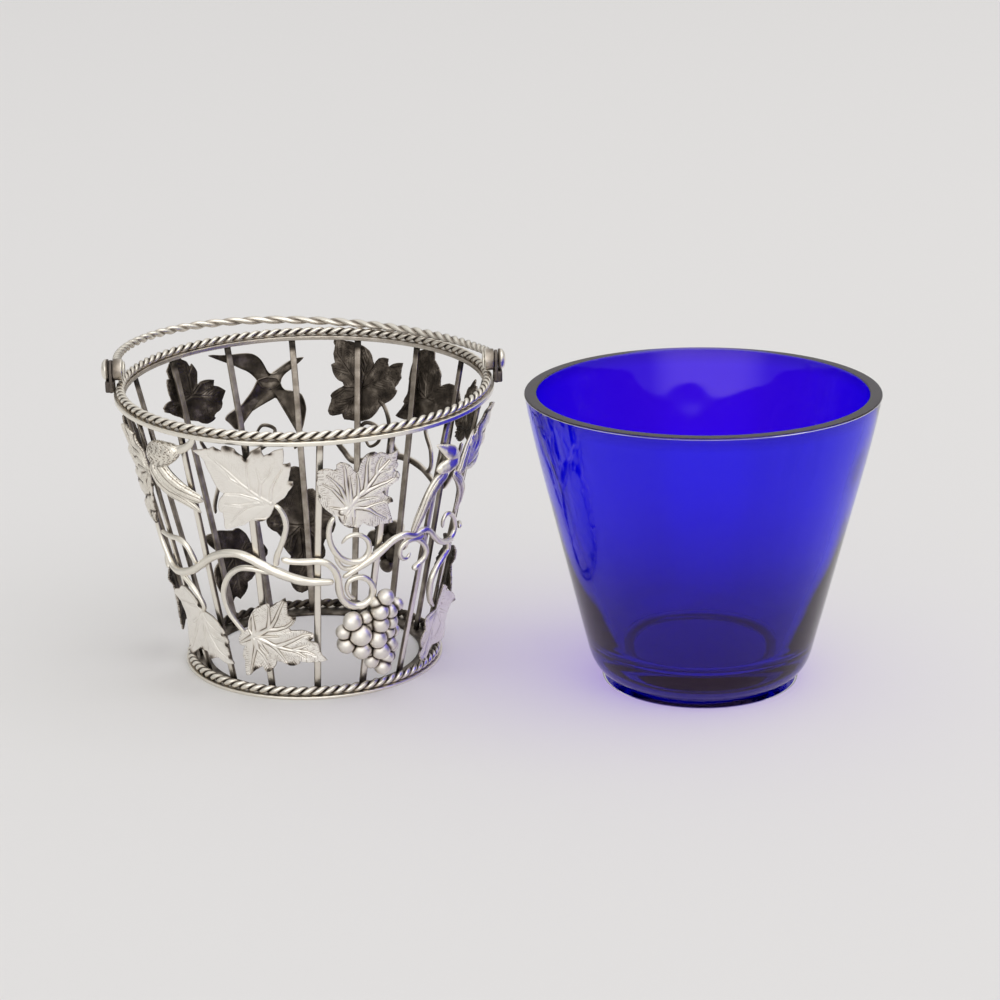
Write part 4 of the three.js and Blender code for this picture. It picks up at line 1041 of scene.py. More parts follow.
def turned(profile, sides):
    """Points turned about Z: each row is one place of the profile, a radius and a height, carried
    round the axis. The profile runs up the outside."""
    angle = np.linspace(0, TURN, sides, endpoint=False)
    radius, height = np.asarray(profile).T
    angle, height = np.broadcast_arrays(angle, height[:, None])
    return np.stack([radius[:, None] * np.cos(angle), radius[:, None] * np.sin(angle), height], axis=-1)


def tube(centres, outwards, deep, wide, sides):
    """Rows of an oval tube: each point is the centre plus deep times the cosine along the outward
    direction plus wide times the sine along the side direction, square to the way that it runs."""
    onwards = unit(np.gradient(centres, axis=0))
    outwards = unit(outwards - onwards * np.sum(outwards * onwards, axis=-1, keepdims=True))
    sideways = np.cross(onwards, outwards)
    angle = np.linspace(0, TURN, sides, endpoint=False)[None, :, None]
    deep = np.broadcast_to(deep, len(centres))[:, None, None]
    wide = np.broadcast_to(wide, len(centres))[:, None, None]
    deep, wide = deep * np.cos(angle), wide * np.sin(angle)
    return centres[:, None] + deep * outwards[:, None] + wide * sideways[:, None]


# Ropes: each of the two strands is a round wire on a helix, half a turn for each crest.
def strands(
    centres, outwards, upwards, radius, twist, is_loop,
    strand_share=STRAND_SHARE, meeting=MEETING_DARKNESS, inside=0.0,
):
    """The two strands of a rope along a line of centres. A strand's middle stands off the line by the
    cosine of its twist outwards and by the sine upwards. It is painted dark where it meets the other,
    as shade with oxide, a little dark underneath as painted shade, and as dark as inside says where
    it faces the axis, also as painted shade."""
    strand = radius * strand_share
    angle = np.linspace(0, TURN, STRAND_SIDES, endpoint=False)
    patches = []
    for start in (0, math.pi):
        turn = (twist + start)[:, None]
        away = np.cos(turn) * outwards + np.sin(turn) * upwards
        middle = centres + (radius - strand) * away
        if is_loop:
            padded = np.concatenate([middle[-1:], middle, middle[:1]])
            onwards = unit(padded[2:] - padded[:-2])
        else:
            onwards = unit(np.gradient(middle, axis=0))
        away = unit(away - onwards * np.sum(away * onwards, axis=-1, keepdims=True))
        sideways = np.cross(onwards, away)
        deep, wide = np.cos(angle)[None, :, None], np.sin(angle)[None, :, None]
        section = deep * away[:, None] + wide * sideways[:, None]
        between = meeting * smooth_step(*MEETING_EDGES, np.cos(angle))
        beneath = ROPE_SHADE * smooth_step(*BENEATH_EDGES, section[..., 2])
        outward_share = np.sum(section * outwards[:, None], axis=-1)
        faces_in = inside * smooth_step(*FACING_IN_EDGES, outward_share)
        tone_and_shade = np.maximum(np.maximum(between, beneath), faces_in)
        patches.append(patch(middle[:, None] + strand * section, is_loop=is_loop, tone_and_shade=tone_and_shade))
    return patches


def rope_ring(ring_radius, bottom, radius, crests, inside):
    """A rope ring laid on a flat ring: a level circle of centres."""
    steps = crests * ROPE_STEPS_PER_CREST
    azimuth = TURN * np.arange(steps) / steps
    outwards = level_way(azimuth)
    centres = ring_radius * outwards + [0, 0, bottom + radius]
    twist = azimuth * crests / 2
    return strands(centres, outwards, np.array([0, 0, 1]), radius, twist, True, inside=inside)


def flat_ring(outer, width, bottom, top, dark_inside, dark_above):
    """A flat ring with eased edges. Its top under the rope and its inner edge are painted darker,
    as shade, with oxide where the rope sits on it.
    """
    inner = outer - width
    outline = [[inner, bottom], [outer, bottom], [outer, top], [inner, top]]
    profile = eased(outline, RING_CORNER)
    inside = smooth_step(outer - width / 3, inner, profile[:, 0])
    within = smooth_step(outer, outer - RING_CORNER * 3, profile[:, 0])
    above = smooth_step(bottom, top, profile[:, 1]) * within
    tone_and_shade = np.maximum(dark_inside * inside, dark_above * above)
    return patch(turned(profile, RING_SIDES), is_loop=True, tone_and_shade=tone_and_shade[:, None])


def add_rings(silver):
    """The rim's and the foot's flat rings and ropes."""
    rim_top = RIM_RING_BOTTOM + RIM_RING_THICK
    foot_ring = flat_ring(FOOT_RADIUS, FOOT_RING_WIDTH, 0, FOOT_RING_THICK, *FOOT_RING_DARKNESS)
    rim_ring = flat_ring(RIM_RADIUS, RIM_RING_WIDTH, RIM_RING_BOTTOM, rim_top, *RIM_RING_DARKNESS)
    foot_line = FOOT_RADIUS - FOOT_ROPE_INSET
    rim_line = RIM_RADIUS - RIM_ROPE_INSET
    foot_twist = rope_ring(
        foot_line, FOOT_RING_THICK, FOOT_ROPE_RADIUS, FOOT_ROPE_CRESTS, FOOT_ROPE_DARKNESS)
    rim_twist = rope_ring(rim_line, rim_top, RIM_ROPE_RADIUS, RIM_ROPE_CRESTS, RIM_ROPE_DARKNESS)
    build("foot_ring", [foot_ring], silver, "pail", ["foot_plate"])
    build("rim_ring", [rim_ring], silver, "pail", ["rim_plate"])
    build("foot_twist", foot_twist, silver, "pail", ["foot_rope"])
    build("rim_twist", rim_twist, silver, "pail", ["rim_rope"])


# Uprights: flat wires with a slightly crowned, hand-worn outer face.
def upright(number):
    """One flat wire from the foot ring to the rim ring. Its section is a rectangle with eased
    corners and a crown on its face, and it wavers a little on the way, each wire in its own way."""
    half = UPRIGHT_WIDTH / 2
    section = [[0, half], [-UPRIGHT_THICK, half], [-UPRIGHT_THICK, -half], [0, -half], [0, 0]]
    outline = eased(section, [UPRIGHT_EDGE] * 4 + [half / 2])
    depth, across = outline[:, 0], outline[:, 1]
    depth = depth - UPRIGHT_CROWN * (across / half) ** 2 * (depth > -UPRIGHT_THICK / 2)
    ends = (np.array([FOOT_RING_THICK, RIM_RING_BOTTOM]) - UPRIGHT_BOTTOM) / UPRIGHT_HEIGHT
    share = np.linspace(*ends, UPRIGHT_ROWS)[:, None]
    step = 360 / UPRIGHT_COUNT * number
    azimuth = step + UPRIGHT_FOOT_ANGLE + (UPRIGHT_HEAD_ANGLE - UPRIGHT_FOOT_ANGLE) * share
    waver = UPRIGHT_WAVER * np.sin(9 * share + 2.1 * number) * np.sin(math.pi * share)
    middle = on_cage(azimuth, share, 0)
    angle = np.radians(azimuth)
    outwards = level_way(angle)
    sideways = np.stack([-np.sin(angle), np.cos(angle), 0 * angle], -1)
    points = middle + depth[:, None] * outwards + (across[:, None] + waver[..., None]) * sideways
    # The sides are painted dark as shade, the back as tarnish and shade, and the ends where they meet the
    # rings.
    side = smooth_step(*UPRIGHT_SIDE_EDGES, np.abs(across) / half)
    behind = smooth_step(*UPRIGHT_BACK_EDGES, depth / UPRIGHT_THICK)
    ends = np.maximum(smooth_step(*UPRIGHT_FOOT_EDGES, share), smooth_step(*UPRIGHT_HEAD_EDGES, share))
    shade_and_tarnish = np.maximum(UPRIGHT_SIDE_DARKNESS * side, UPRIGHT_BACK_DARKNESS * behind)
    tone_and_shade = np.clip(shade_and_tarnish + UPRIGHT_END_DARKNESS * ends, 0, 1)
    return patch(points, tone_and_shade=tone_and_shade)


def add_uprights(silver):
    """The sixteen uprights, each its own wire."""
    for number in range(UPRIGHT_COUNT):
        name = f"{number + 1:02d}"
        build("wire_" + name, [upright(number)], silver, "pail", ["upright_" + name])


# The hinge: ears, rivets, knuckles and the bail.
def on_pivot(points, side):
    """Points drawn with the hinge's axis as their Z, laid along X at the pivot on the right, and
    turned half round the pail for the left. The first axis becomes Y and the second Z."""
    across, up, along = np.moveaxis(points, -1, 0)
    return np.stack([side * along, side * across, PIVOT_HEIGHT + up], -1)


def eased_depths(depth, ease):
    """How far along a block of this depth each row lies, and how far it is inset there, so that both
    of its ends are rounded by quarter circles."""
    angle = np.linspace(0, math.pi / 2, 4)
    along, inset = ease * (1 - np.cos(angle)), ease * (1 - np.sin(angle))
    return np.concatenate([along, depth - along[::-1]]), np.concatenate([inset, inset[::-1]])


def prism(outline, depth, ease):
    """A solid of one outline, anticlockwise about the axis, with both of its ends rounded. A row is
    the outline drawn in towards its middle by the inset there."""
    middle = outline.mean(axis=0)
    reach = np.linalg.norm(outline - middle, axis=1).mean()
    rows = []
    for along, inset in zip(*eased_depths(depth, ease)):
        drawn_in = middle + (outline - middle) * (1 - inset / reach)
        rows.append(np.column_stack([drawn_in, np.full(len(outline), along)]))
    return np.array(rows)


def ear_outline():
    """The ear's plate from in front: half a circle round the pivot on straight sides."""
    angle = np.linspace(0, math.pi, 25)
    arch = EAR_RADIUS * np.stack([np.cos(angle), np.sin(angle)], -1)
    bottom = -EAR_DROP
    height = np.linspace(0, bottom, 9)[1:]
    spread = EAR_RADIUS + (EAR_FOOT_WIDTH / 2 - EAR_RADIUS) * height / bottom
    left = np.stack([-spread, height], -1)
    right = np.stack([spread, height], -1)[::-1]
    return np.concatenate([arch, left, right])


def ear():
    """The plate, bored for the rivet, and the foot block that stands against the rim."""
    outline = ear_outline()
    bore = (RIVET_RADIUS + PIN_GAP) * unit(outline)
    rows = [np.column_stack([bore, np.zeros(len(outline))])]
    rows.extend(prism(outline, EAR_THICK, EAR_EDGE))
    rows.append(rows[0] + [0, 0, EAR_THICK])
    # The plate and its foot are painted dark as shade, between and below the knuckle and the rivet's head.
    plate = patch(np.array(rows) + [0, 0, EAR_INNER], is_loop=True, tone_and_shade=EAR_DARKNESS)
    half = EAR_FOOT_WIDTH / 2
    block = [[half, EAR_FOOT_HEIGHT], [-half, EAR_FOOT_HEIGHT], [-half, 0], [half, 0]]
    foot = prism(eased(block, EAR_FOOT_CORNER), EAR_FOOT_DEPTH, EAR_FOOT_EDGE)
    foot = foot + [0, -EAR_DROP, EAR_INNER - EAR_FOOT_INSET]
    return [plate, patch(foot, tone_and_shade=EAR_FOOT_DARKNESS)]


def rivet():
    """The rivet: a hammered tail inside, a shank, and outside a head with a short straight side under
    a low dome. Each is a profile of radius and distance along the axis, turned."""
    tail_outer = EAR_INNER - PIN_GAP - KNUCKLE_LENGTH - PIN_GAP
    head_inner = EAR_INNER + EAR_THICK + SEAT_GAP
    angle = np.linspace(0, math.pi / 2, 13)[:-1]
    side = RIVET_HEAD_RISE * RIVET_SIDE_SHARE
    dome = np.stack([
        RIVET_HEAD_RADIUS * np.cos(angle) ** RIVET_DOME_POWER,
        head_inner + side + (RIVET_HEAD_RISE - side) * np.sin(angle),
    ], -1)
    tail = eased([
        [RIVET_HUB, tail_outer - RIVET_TAIL_THICK],
        [RIVET_TAIL_RADIUS, tail_outer - RIVET_TAIL_THICK],
        [RIVET_TAIL_RADIUS, tail_outer],
        [RIVET_RADIUS, tail_outer],
        [RIVET_RADIUS, head_inner],
        [RIVET_HEAD_RADIUS, head_inner],
        [RIVET_HEAD_RADIUS, head_inner + side],
    ], RIVET_EASES, is_closed=False)
    profile = np.concatenate([tail, dome[1:]])
    # The shank through the ear and the underside and foot of the head's side are painted dark as shade;
    # towards the tail, inside the knuckle, it stays bright.
    shade_edges = [head_inner + side * share for share in RIVET_SHADE_SHARES]
    past_ear = smooth_step(*shade_edges, profile[:, 1])
    in_knuckle = smooth_step(EAR_INNER, EAR_INNER - KNUCKLE_LENGTH, profile[:, 1])
    dark = RIVET_DARKNESS * past_ear * (1 - in_knuckle)
    return patch(turned(profile, RIVET_SIDES), tone_and_shade=dark[:, None])


def knuckle():
    """The bail's knuckle: a bored barrel with rolled edges, painted darker towards the ear as shade."""
    outer = EAR_INNER - PIN_GAP
    inner = outer - KNUCKLE_LENGTH
    bore = RIVET_RADIUS + PIN_GAP
    section = [[bore, inner], [KNUCKLE_RADIUS, inner], [KNUCKLE_RADIUS, outer], [bore, outer]]
    profile = eased(section, KNUCKLE_CORNER)
    shade_end = inner + KNUCKLE_LENGTH * KNUCKLE_SHADE_SHARE
    shade_and_tarnish = KNUCKLE_DARKNESS * smooth_step(inner, shade_end, profile[:, 1])
    return patch(turned(profile, RIVET_SIDES), is_loop=True, tone_and_shade=shade_and_tarnish[:, None])


def bail_rope():
    """The bail's two strands: half an oval from the top of one knuckle to the top of the other,
    leaning back, a little askew, and twisted more tightly towards its ends."""
    lean = math.radians(BAIL_REST_ANGLE)
    backwards = np.array([0, math.cos(lean), math.sin(lean)])
    upwards = np.array([0, -math.sin(lean), math.cos(lean)])
    half_width = EAR_INNER - PIN_GAP - KNUCKLE_LENGTH / 2
    start = math.asin(BAIL_END_GAP / BAIL_REACH)
    steps = BAIL_ROPE_CRESTS * ROPE_STEPS_PER_CREST
    share = np.linspace(0, 1, steps + 1)[:, None]
    angle = start + (math.pi - 2 * start) * share
    back = BAIL_REACH * np.sin(angle)
    lift = BAIL_LIFT * np.exp(-back / BAIL_LIFT_REACH) - BAIL_DIP * np.cos(angle) * np.sin(angle)
    centres = np.array([0, 0, PIVOT_HEIGHT]) + back * backwards + lift * upwards
    centres = centres + (half_width * np.cos(angle) - BAIL_SKEW * back) * [1, 0, 0]
    outwards = unit(BAIL_REACH * np.cos(angle) * [1, 0, 0] + half_width * np.sin(angle) * backwards)
    turns = share[:, 0] + BAIL_TIGHTNESS * np.sin(TURN * share[:, 0]) / TURN
    twist = -math.pi * BAIL_ROPE_CRESTS * turns
    return strands(
        centres, outwards, upwards, BAIL_ROPE_RADIUS, twist, False, BAIL_STRAND_SHARE, BAIL_MEETING_DARKNESS)


def laid_on_pivot(made, side):
    """A patch drawn about the hinge's axis, laid at the pivot on one side of the pail."""
    return {**made, "points": on_pivot(made["points"], side)}


def add_hinges(silver, shade_silver):
    """Ears, rivets and knuckles on both sides, and the bail's rope."""
    for name, side in (("right", 1), ("left", -1)):
        build("hinge_ear_" + name, [laid_on_pivot(made, side) for made in ear()], shade_silver,
              "pail", ["ear_" + name])
        build("hinge_pin_" + name, [laid_on_pivot(rivet(), side)], silver,
              "pail", ["rivet_" + name])
        build("bail_end_" + name, [laid_on_pivot(knuckle(), side)], silver,
              "bail", ["bail_knuckle_" + name])
    build("bail_twist", bail_rope(), silver, "bail", ["bail_rope"])


# Vines: wires along routes on the cage.
def curve_through(places):
    """A smooth line through places, a centripetal Catmull-Rom curve: between two places it is the
    cubic with their places and with slopes weighed by the square roots of the spans. Also returns
    the length run at each point and at each place."""
    wide = np.concatenate([[2 * places[0] - places[1]], places, [2 * places[-1] - places[-2]]])
    span = np.sqrt(np.linalg.norm(np.diff(wide, axis=0), axis=1))[:, None]
    before, here, onwards, after = wide[:-3], wide[1:-2], wide[2:-1], wide[3:]
    first, middle, last = span[:-2], span[1:-1], span[2:]
    leave = ((here - before) / first - (onwards - before) / (first + middle)) * middle + (onwards - here)
    arrive = (onwards - here) + ((after - onwards) / last - (after - here) / (middle + last)) * middle
    t = np.linspace(0, 1, CURVE_STEPS, endpoint=False)[:, None, None]
    cubic = 2 * here - 2 * onwards + leave + arrive
    square = 3 * onwards - 3 * here - 2 * leave - arrive
    line = here + leave * t + square * t**2 + cubic * t**3
    line = np.concatenate([np.moveaxis(line, 1, 0).reshape(-1, places.shape[1]), places[-1:]])
    run = np.concatenate([[0], np.cumsum(np.linalg.norm(np.diff(line, axis=0), axis=1))])
    return line, run, run[::CURVE_STEPS]


def along_cage(route, size, flat_share=1.0, step=VINE_STEP):
    """A wire or body along a route on the cage, each place of it degrees round, share of the
    uprights' height, radius as a share of its size, and a lift in sizes. Returns its centres, its
    outward directions, its radii and the length run, at even steps."""
    route = [list(place) + [0] * (4 - len(place)) for place in route]
    table = np.array(route, float)
    table[:, 0] = np.degrees(np.unwrap(np.radians(table[:, 0])))
    middle_radius = (CAGE_FOOT_RADIUS + CAGE_HEAD_RADIUS) / 2
    flat = np.stack([np.radians(table[:, 0]) * middle_radius, table[:, 1] * UPRIGHT_HEIGHT], -1)
    line, run, knots = curve_through(flat)
    even = np.linspace(0, run[-1], max(8, int(run[-1] / step)))
    across, up = (np.interp(even, run, line[:, axis]) for axis in (0, 1))
    radius = size * np.interp(even, knots, table[:, 2])
    lift = size * np.interp(even, knots, table[:, 3])
    azimuth = np.degrees(across / middle_radius)
    centres = on_cage(azimuth, up / UPRIGHT_HEIGHT, SEAT_GAP + radius * flat_share + lift)
    outwards = unit(centres * [1, 1, 0])
    return centres, outwards, radius, even


def domed(radius, run, reach, least):
    """Radii along a line that round off its two ends like quarter circles of this reach. The square
    of a radius keeps at least this share."""
    ends = np.minimum(run, run[-1] - run) / reach
    return radius * np.sqrt(np.clip(1 - (1 - np.clip(ends, 0, 1)) ** 2, least, 1))


def wire(route):
    """A round vine wire with domed ends, painted dark on its side towards the cage, as shade and as
    the tarnish where the cloth doesn't reach.
    """
    centres, outwards, radius, run = along_cage(route, VINE_RADIUS)
    radius = domed(radius, run, VINE_RADIUS, LEAST_WIRE_SHARE)
    radius = radius * (1 + VINE_SWELL * np.sin(run * VINE_SWELL_PITCH))
    angle = np.linspace(0, TURN, VINE_SIDES, endpoint=False)
    tone_and_shade = WIRE_DARKNESS * smooth_step(*VINE_BENEATH_EDGES, np.cos(angle))
    return patch(tube(centres, outwards, radius, radius, VINE_SIDES), tone_and_shade=tone_and_shade)


def drawn_route(places):
    """A route read from the picture, as places on the cage with the wire's thickness at each."""
    table = np.array(places, float)
    azimuth, share = under_pixels(table[:, :2], SEAT_GAP + VINE_RADIUS)
    return np.column_stack([azimuth, share, table[:, 2]])


def add_vines(silver):
    """Each vine is one piece of a main wire and its soldered branches."""
    routes_of = {}
    for name, branches in VINE_ROUTE_PIXELS.items():
        routes_of[name] = [drawn_route(places) for places in branches]
    routes_of.update(VINE_ROUTE_SHARES)
    for name, routes in routes_of.items():
        title = name.replace("vine", "stem").replace("tendril", "curl")
        build(title, [wire(route) for route in routes], silver, "pail", [name])


# Leaves: embossed sheet, each drawn flat round the place where its stalk joins, then laid on the cage.
def on_cage_flat(across, up, anchor, out):
    """Points drawn flat, in millimetres across and up from an anchor on the cage, laid on its cone."""
    share = anchor[1] + up / UPRIGHT_HEIGHT
    radius = cage_radius(share)
    return on_cage(anchor[0] + np.degrees(across / radius), share, out)


def nearness(flat, lines):
    """For each flat point, the closest of a set of lines: its distance as a share of that line's
    width there, and how far on along it the point lies, less a share of the distance. A line is
    points with a width at its start that thins to a third at its end."""
    best = np.full(flat.shape[:-1], 1e3)
    run = np.zeros(flat.shape[:-1])
    for points, width in lines:
        count = len(points) - 1
        start_run = 0
        for i in range(count):
            start, way = points[i], points[i + 1] - points[i]
            along = np.clip(np.sum((flat - start) * way, axis=-1) / np.sum(way**2), 0, 1)
            gap = np.linalg.norm(flat - start - along[..., None] * way, axis=-1)
            thin = width * (1 - 0.66 * (i + along) / count)
            closer = gap / thin < best
            here = start_run + np.sum((flat - start) * way, axis=-1) / np.linalg.norm(way) - HATCH_LEAN * gap
            best = np.where(closer, gap / thin, best)
            run = np.where(closer, here, run)
            start_run += np.linalg.norm(way)
    return best, run


def embossed(outline, anchor, rows, relief, thick, behind):
    """A thin embossed blade as one closed patch. Rows of the outline drawn in towards the anchor run
    from its middle behind, over its rounded edge, to its middle in front. relief gives, for flat
    points and their share of the way to the edge, how far the inner face stands out, how dark the
    front is, how strongly it is chased and how far along its hatching each point lies."""
    share = np.linspace(0, 1, rows + 1)[1:] ** BLADE_ROW_POWER
    flat = share[:, None, None] * outline
    rise, tone_and_shade, tooling, run = relief(flat, share[:, None])
    rise = np.maximum(rise, LEAST_RISE)
    back = on_cage_flat(flat[..., 0], flat[..., 1], anchor, rise)
    front = on_cage_flat(flat[..., 0], flat[..., 1], anchor, rise + thick)
    reach = np.linalg.norm(outline, axis=1, keepdims=True)
    proud = outline * (1 + BLADE_PROUD_SHARE * thick / np.maximum(reach, thick))
    edge = on_cage_flat(proud[:, 0], proud[:, 1], anchor, rise[-1] + thick / 2)
    points = np.concatenate([back, edge[None], front[::-1]])
    # The back is painted dark as tarnish and shade, and the rounded edge takes a share of each face's
    # darkness.
    of_front, of_back = BLADE_EDGE_SHARES
    dark_edge = tone_and_shade[-1:] * of_front + behind * of_back
    dark = np.concatenate([np.full(rise.shape, behind), dark_edge, tone_and_shade[::-1]])
    chased = np.concatenate([tooling * BLADE_BACK_TOOLING, tooling[-1:], tooling[::-1]])
    hatched = np.concatenate([run, run[-1:], run[::-1]])
    return patch(points, tone_and_shade=np.clip(dark, 0, 1), tooling=chased, hatching=hatched)


def view_axes():
    """The camera's own axes in the row frame: to the right, up, and backwards, as columns."""
    turned_by = Matrix.Rotation(math.radians(CAMERA_HEADING), 3, "Z")
    pitched = Matrix.Rotation(math.radians(90 - CAMERA_PITCH), 3, "X")
    rolled = Matrix.Rotation(math.radians(CAMERA_ROLL), 3, "Z")
    return turned_by @ pitched @ rolled


def under_pixels(pixels, out, at_back=False):
    """Where the leaning cage lies under pixels of the photograph, as degrees round and shares of the
    uprights' height. A ray from the camera meets the upright cylinder that has the cage's radius, out
    millimetres outside the uprights, at the height found so far. Rounds of this settle the height."""
    pixels = np.array(pixels, float)
    focal = CAMERA_LENS / SENSOR_WIDTH * FRAME_PIXELS
    right, up, back = np.array(view_axes()).T
    across = (pixels[:, :1] - FRAME_PIXELS / 2) / focal
    above = (FRAME_PIXELS / 2 - pixels[:, 1:]) / focal
    ray = across * right + above * up - back
    eye = np.array(CAMERA_PLACE)
    square = ray[:, 0] ** 2 + ray[:, 1] ** 2
    linear = eye[0] * ray[:, 0] + eye[1] * ray[:, 1]
    lean = math.tan(math.radians(LEANS["pail"][1])) / PIVOT_HEIGHT
    share = np.full(len(ray), 0.5)
    for _ in range(SETTLING_ROUNDS):
        radius = cage_radius(share) + out
        spread = np.maximum(linear**2 - square * (eye[0] ** 2 + eye[1] ** 2 - radius**2), 0)
        reach = (-linear + (1 if at_back else -1) * np.sqrt(spread)) / square
        place = eye + reach[:, None] * ray
        height = place[:, 2] / (1 + lean * place[:, 1])
        share = (share + (height - UPRIGHT_BOTTOM) / UPRIGHT_HEIGHT) / 2
    azimuth = np.degrees(np.arctan2(place[:, 1], place[:, 0])) % 360
    return azimuth, share


def hub_under(pixel, at_back):
    """The place on the cage under one pixel, which a blade is drawn round."""
    azimuth, share = under_pixels([pixel], LEAF_STANDOFF, at_back)
    return azimuth[0], share[0]


def drawn_flat(azimuth, share, anchor):
    """Places on the cage as flat millimetres across and up from an anchor."""
    radius = cage_radius(share)
    return np.stack([np.radians(azimuth - anchor[0]) * radius, (share - anchor[1]) * UPRIGHT_HEIGHT], -1)


def outline_through(points, per_side, bulge):
    """A closed outline through tips and notches. Between two points it bows outwards by a share of
    their distance, as the edge of a toothed leaf does."""
    onwards = np.roll(points, -1, axis=0) - points
    normal = np.stack([onwards[:, 1], -onwards[:, 0]], -1)
    t = np.linspace(0, 1, per_side, endpoint=False)[None, :, None]
    line = points[:, None] + onwards[:, None] * t + normal[:, None] * bulge * np.sin(math.pi * t)
    return line.reshape(-1, 2)


def lobed_outline(heading, length, lobes):
    """A vine leaf's outline round its stalk: at each angle the reach is the farthest of five lobes,
    each falling off by its flank shares, with scalloped teeth along it."""
    angle = np.linspace(-180, 180, LEAF_POINTS, endpoint=False)
    steps = angle / LOBE_STEP
    flanks = np.append(LEAF_FLANK_SHARES, 0)
    reach = [share * np.interp(np.abs(steps - 4 * (lobe - 2)), np.arange(len(flanks)), flanks)
             for lobe, share in enumerate(lobes)]
    reach = np.maximum(np.max(reach, axis=0), LEAF_NECK_SHARE)
    waves = np.abs(np.sin(math.pi * (steps * LEAF_TEETH_PER_STEP + 0.5)))
    teeth = waves ** LEAF_TOOTH_POWER - LEAF_TOOTH_MIDDLE
    reach = reach * (1 + LEAF_TOOTH_SHARE * teeth * smooth_step(*LEAF_TOOTH_EDGES, reach))
    around = np.radians(angle + heading)
    return length * reach[:, None] * np.stack([np.cos(around), np.sin(around)], -1)


def lobed_veins(heading, length, lobes):
    """A main vein to each lobe's tip and three pairs of side veins that lean off it."""
    veins = []
    for lobe, share in enumerate(lobes):
        angle = math.radians(heading + 4 * LOBE_STEP * (lobe - 2))
        way = length * share * np.array([math.cos(angle), math.sin(angle)])
        veins.append((np.array([[0, 0], way * 0.5, way * VEIN_REACH_SHARE]), VEIN_WIDTH))
        for place, reach in VEIN_SIDE_SHARES:
            for lean in (-VEIN_LEAN, VEIN_LEAN):
                turned_by = math.radians(lean)
                across = np.array([-way[1], way[0]])
                branch = reach * (math.cos(turned_by) * way + math.sin(turned_by) * across)
                start = way * place
                line = np.array([start, start + branch * SIDE_VEIN_BEND_SHARE, start + branch])
                veins.append((line, VEIN_WIDTH * SIDE_VEIN_WIDTH_SHARE))
    return veins


def leaf_relief(veins, shaded_spots, length, embossing, chasing):
    """How a leaf stands off the cage: a crown in its middle, a rim that curls outwards with the
    square of the reach, a slow ruffle round it, raised veins with a dark groove along each, and
    panels that swell between them. Its rim curls further at the shaded spots and is painted dark
    there, as the shade under the curl, and its very edge is painted dark as shade."""
    def relief(flat, share):
        reach = np.linalg.norm(flat, axis=-1) / length
        around = np.arctan2(flat[..., 1], flat[..., 0])
        near, run = nearness(flat, veins)
        ridge = np.exp(-near**2)
        groove = np.exp(-((near - GROOVE_PLACE) / GROOVE_WIDTH) ** 2)
        waves = np.sin(RUFFLE_WAVES * around + RUFFLE_TWIST * reach + length)
        ruffle = LEAF_RUFFLE * waves * share**2 * reach
        panel = LEAF_SWELL * smooth_step(*PANEL_EDGES, near)
        rise = BLADE_SEAT + BLADE_CROWN * (1 - share) + LEAF_CURL * reach**2 + ruffle
        rise = rise + embossing * (VEIN_RISE * ridge - GROOVE_DEPTH_SHARE * VEIN_RISE * groove + panel)
        curled = 0 * near
        for place, size in shaded_spots:
            gap = np.linalg.norm(flat - place, axis=-1) / size
            curled = np.maximum(curled, np.exp(-gap**2))
        curled = curled * smooth_step(*SPOT_EDGES, share)
        rise = rise + LEAF_SPOT_CURL * curled
        tone_and_shade = chasing * GROOVE_DARKNESS * groove * smooth_step(*GROOVE_EDGES, share)
        # The very edge of the face is painted dark as shade.
        tone_and_shade = tone_and_shade + EDGE_DARKNESS * smooth_step(*LEAF_RIM_EDGES, share)
        tooling = chasing * smooth_step(*CHASED_EDGES, near) * smooth_step(*CHASED_REACH_EDGES, share)
        return rise, np.maximum(tone_and_shade, SPOT_DARKNESS * curled), tooling, run
    return relief


def leaf(name, length):
    """One leaf: the photographed outline where it shows, with its veins where its face shows, and
    otherwise five lobes."""
    embossing, chasing, behind, girth = LEAF_FINISH_AND_SHADE_SHARES.get(name, LEAF_FINISH_AND_SHADE_SHARES["others"])
    at_back = name in BACK_OUTLINE_PIXELS
    anchor = LEAF_PLACE_SHARES.get(name)
    if anchor is None:
        anchor = hub_under(LEAF_HUB_PIXELS[name], at_back)
    shaded_spots = []
    if name in LEAF_OUTLINE_PIXELS:
        rows = FACE_ROWS
        places = under_pixels(LEAF_OUTLINE_PIXELS[name], LEAF_STANDOFF)
        outline = outline_through(drawn_flat(*places, anchor)[::-1], *LEAF_BOW)
        veins = [(drawn_flat(*under_pixels(line, LEAF_STANDOFF), anchor), VEIN_WIDTH * thick * girth)
                 for thick, line in LEAF_VEIN_PIXELS[name]]
        spots = np.array(LEAF_SHADE_PIXELS[name])
        places = drawn_flat(*under_pixels(spots[:, :2], LEAF_STANDOFF), anchor)
        shaded_spots = list(zip(places, spots[:, 2] / PIXELS_PER_MM))
    else:
        heading, lobes = LEAF_LOBE_SHARES[name]
        veins = lobed_veins(heading, length, lobes)
        rows = BACK_ROWS if at_back else HIDDEN_ROWS
        outline = lobed_outline(heading, length, lobes)
        if at_back:
            places = under_pixels(BACK_OUTLINE_PIXELS[name], LEAF_STANDOFF, True)
            outline = outline_through(drawn_flat(*places, anchor), *BACK_LEAF_BOW)
    relief = leaf_relief(veins, shaded_spots, length, embossing, chasing)
    return embossed(outline, anchor, rows, relief, LEAF_THICK, behind)


def add_leaves(satin):
    """Fourteen leaves, each its own piece."""
    for name, length in LEAF_LENGTHS.items():
        build(name.replace("leaf", "vine_leaf"), [leaf(name, length)], satin, "pail", [name])


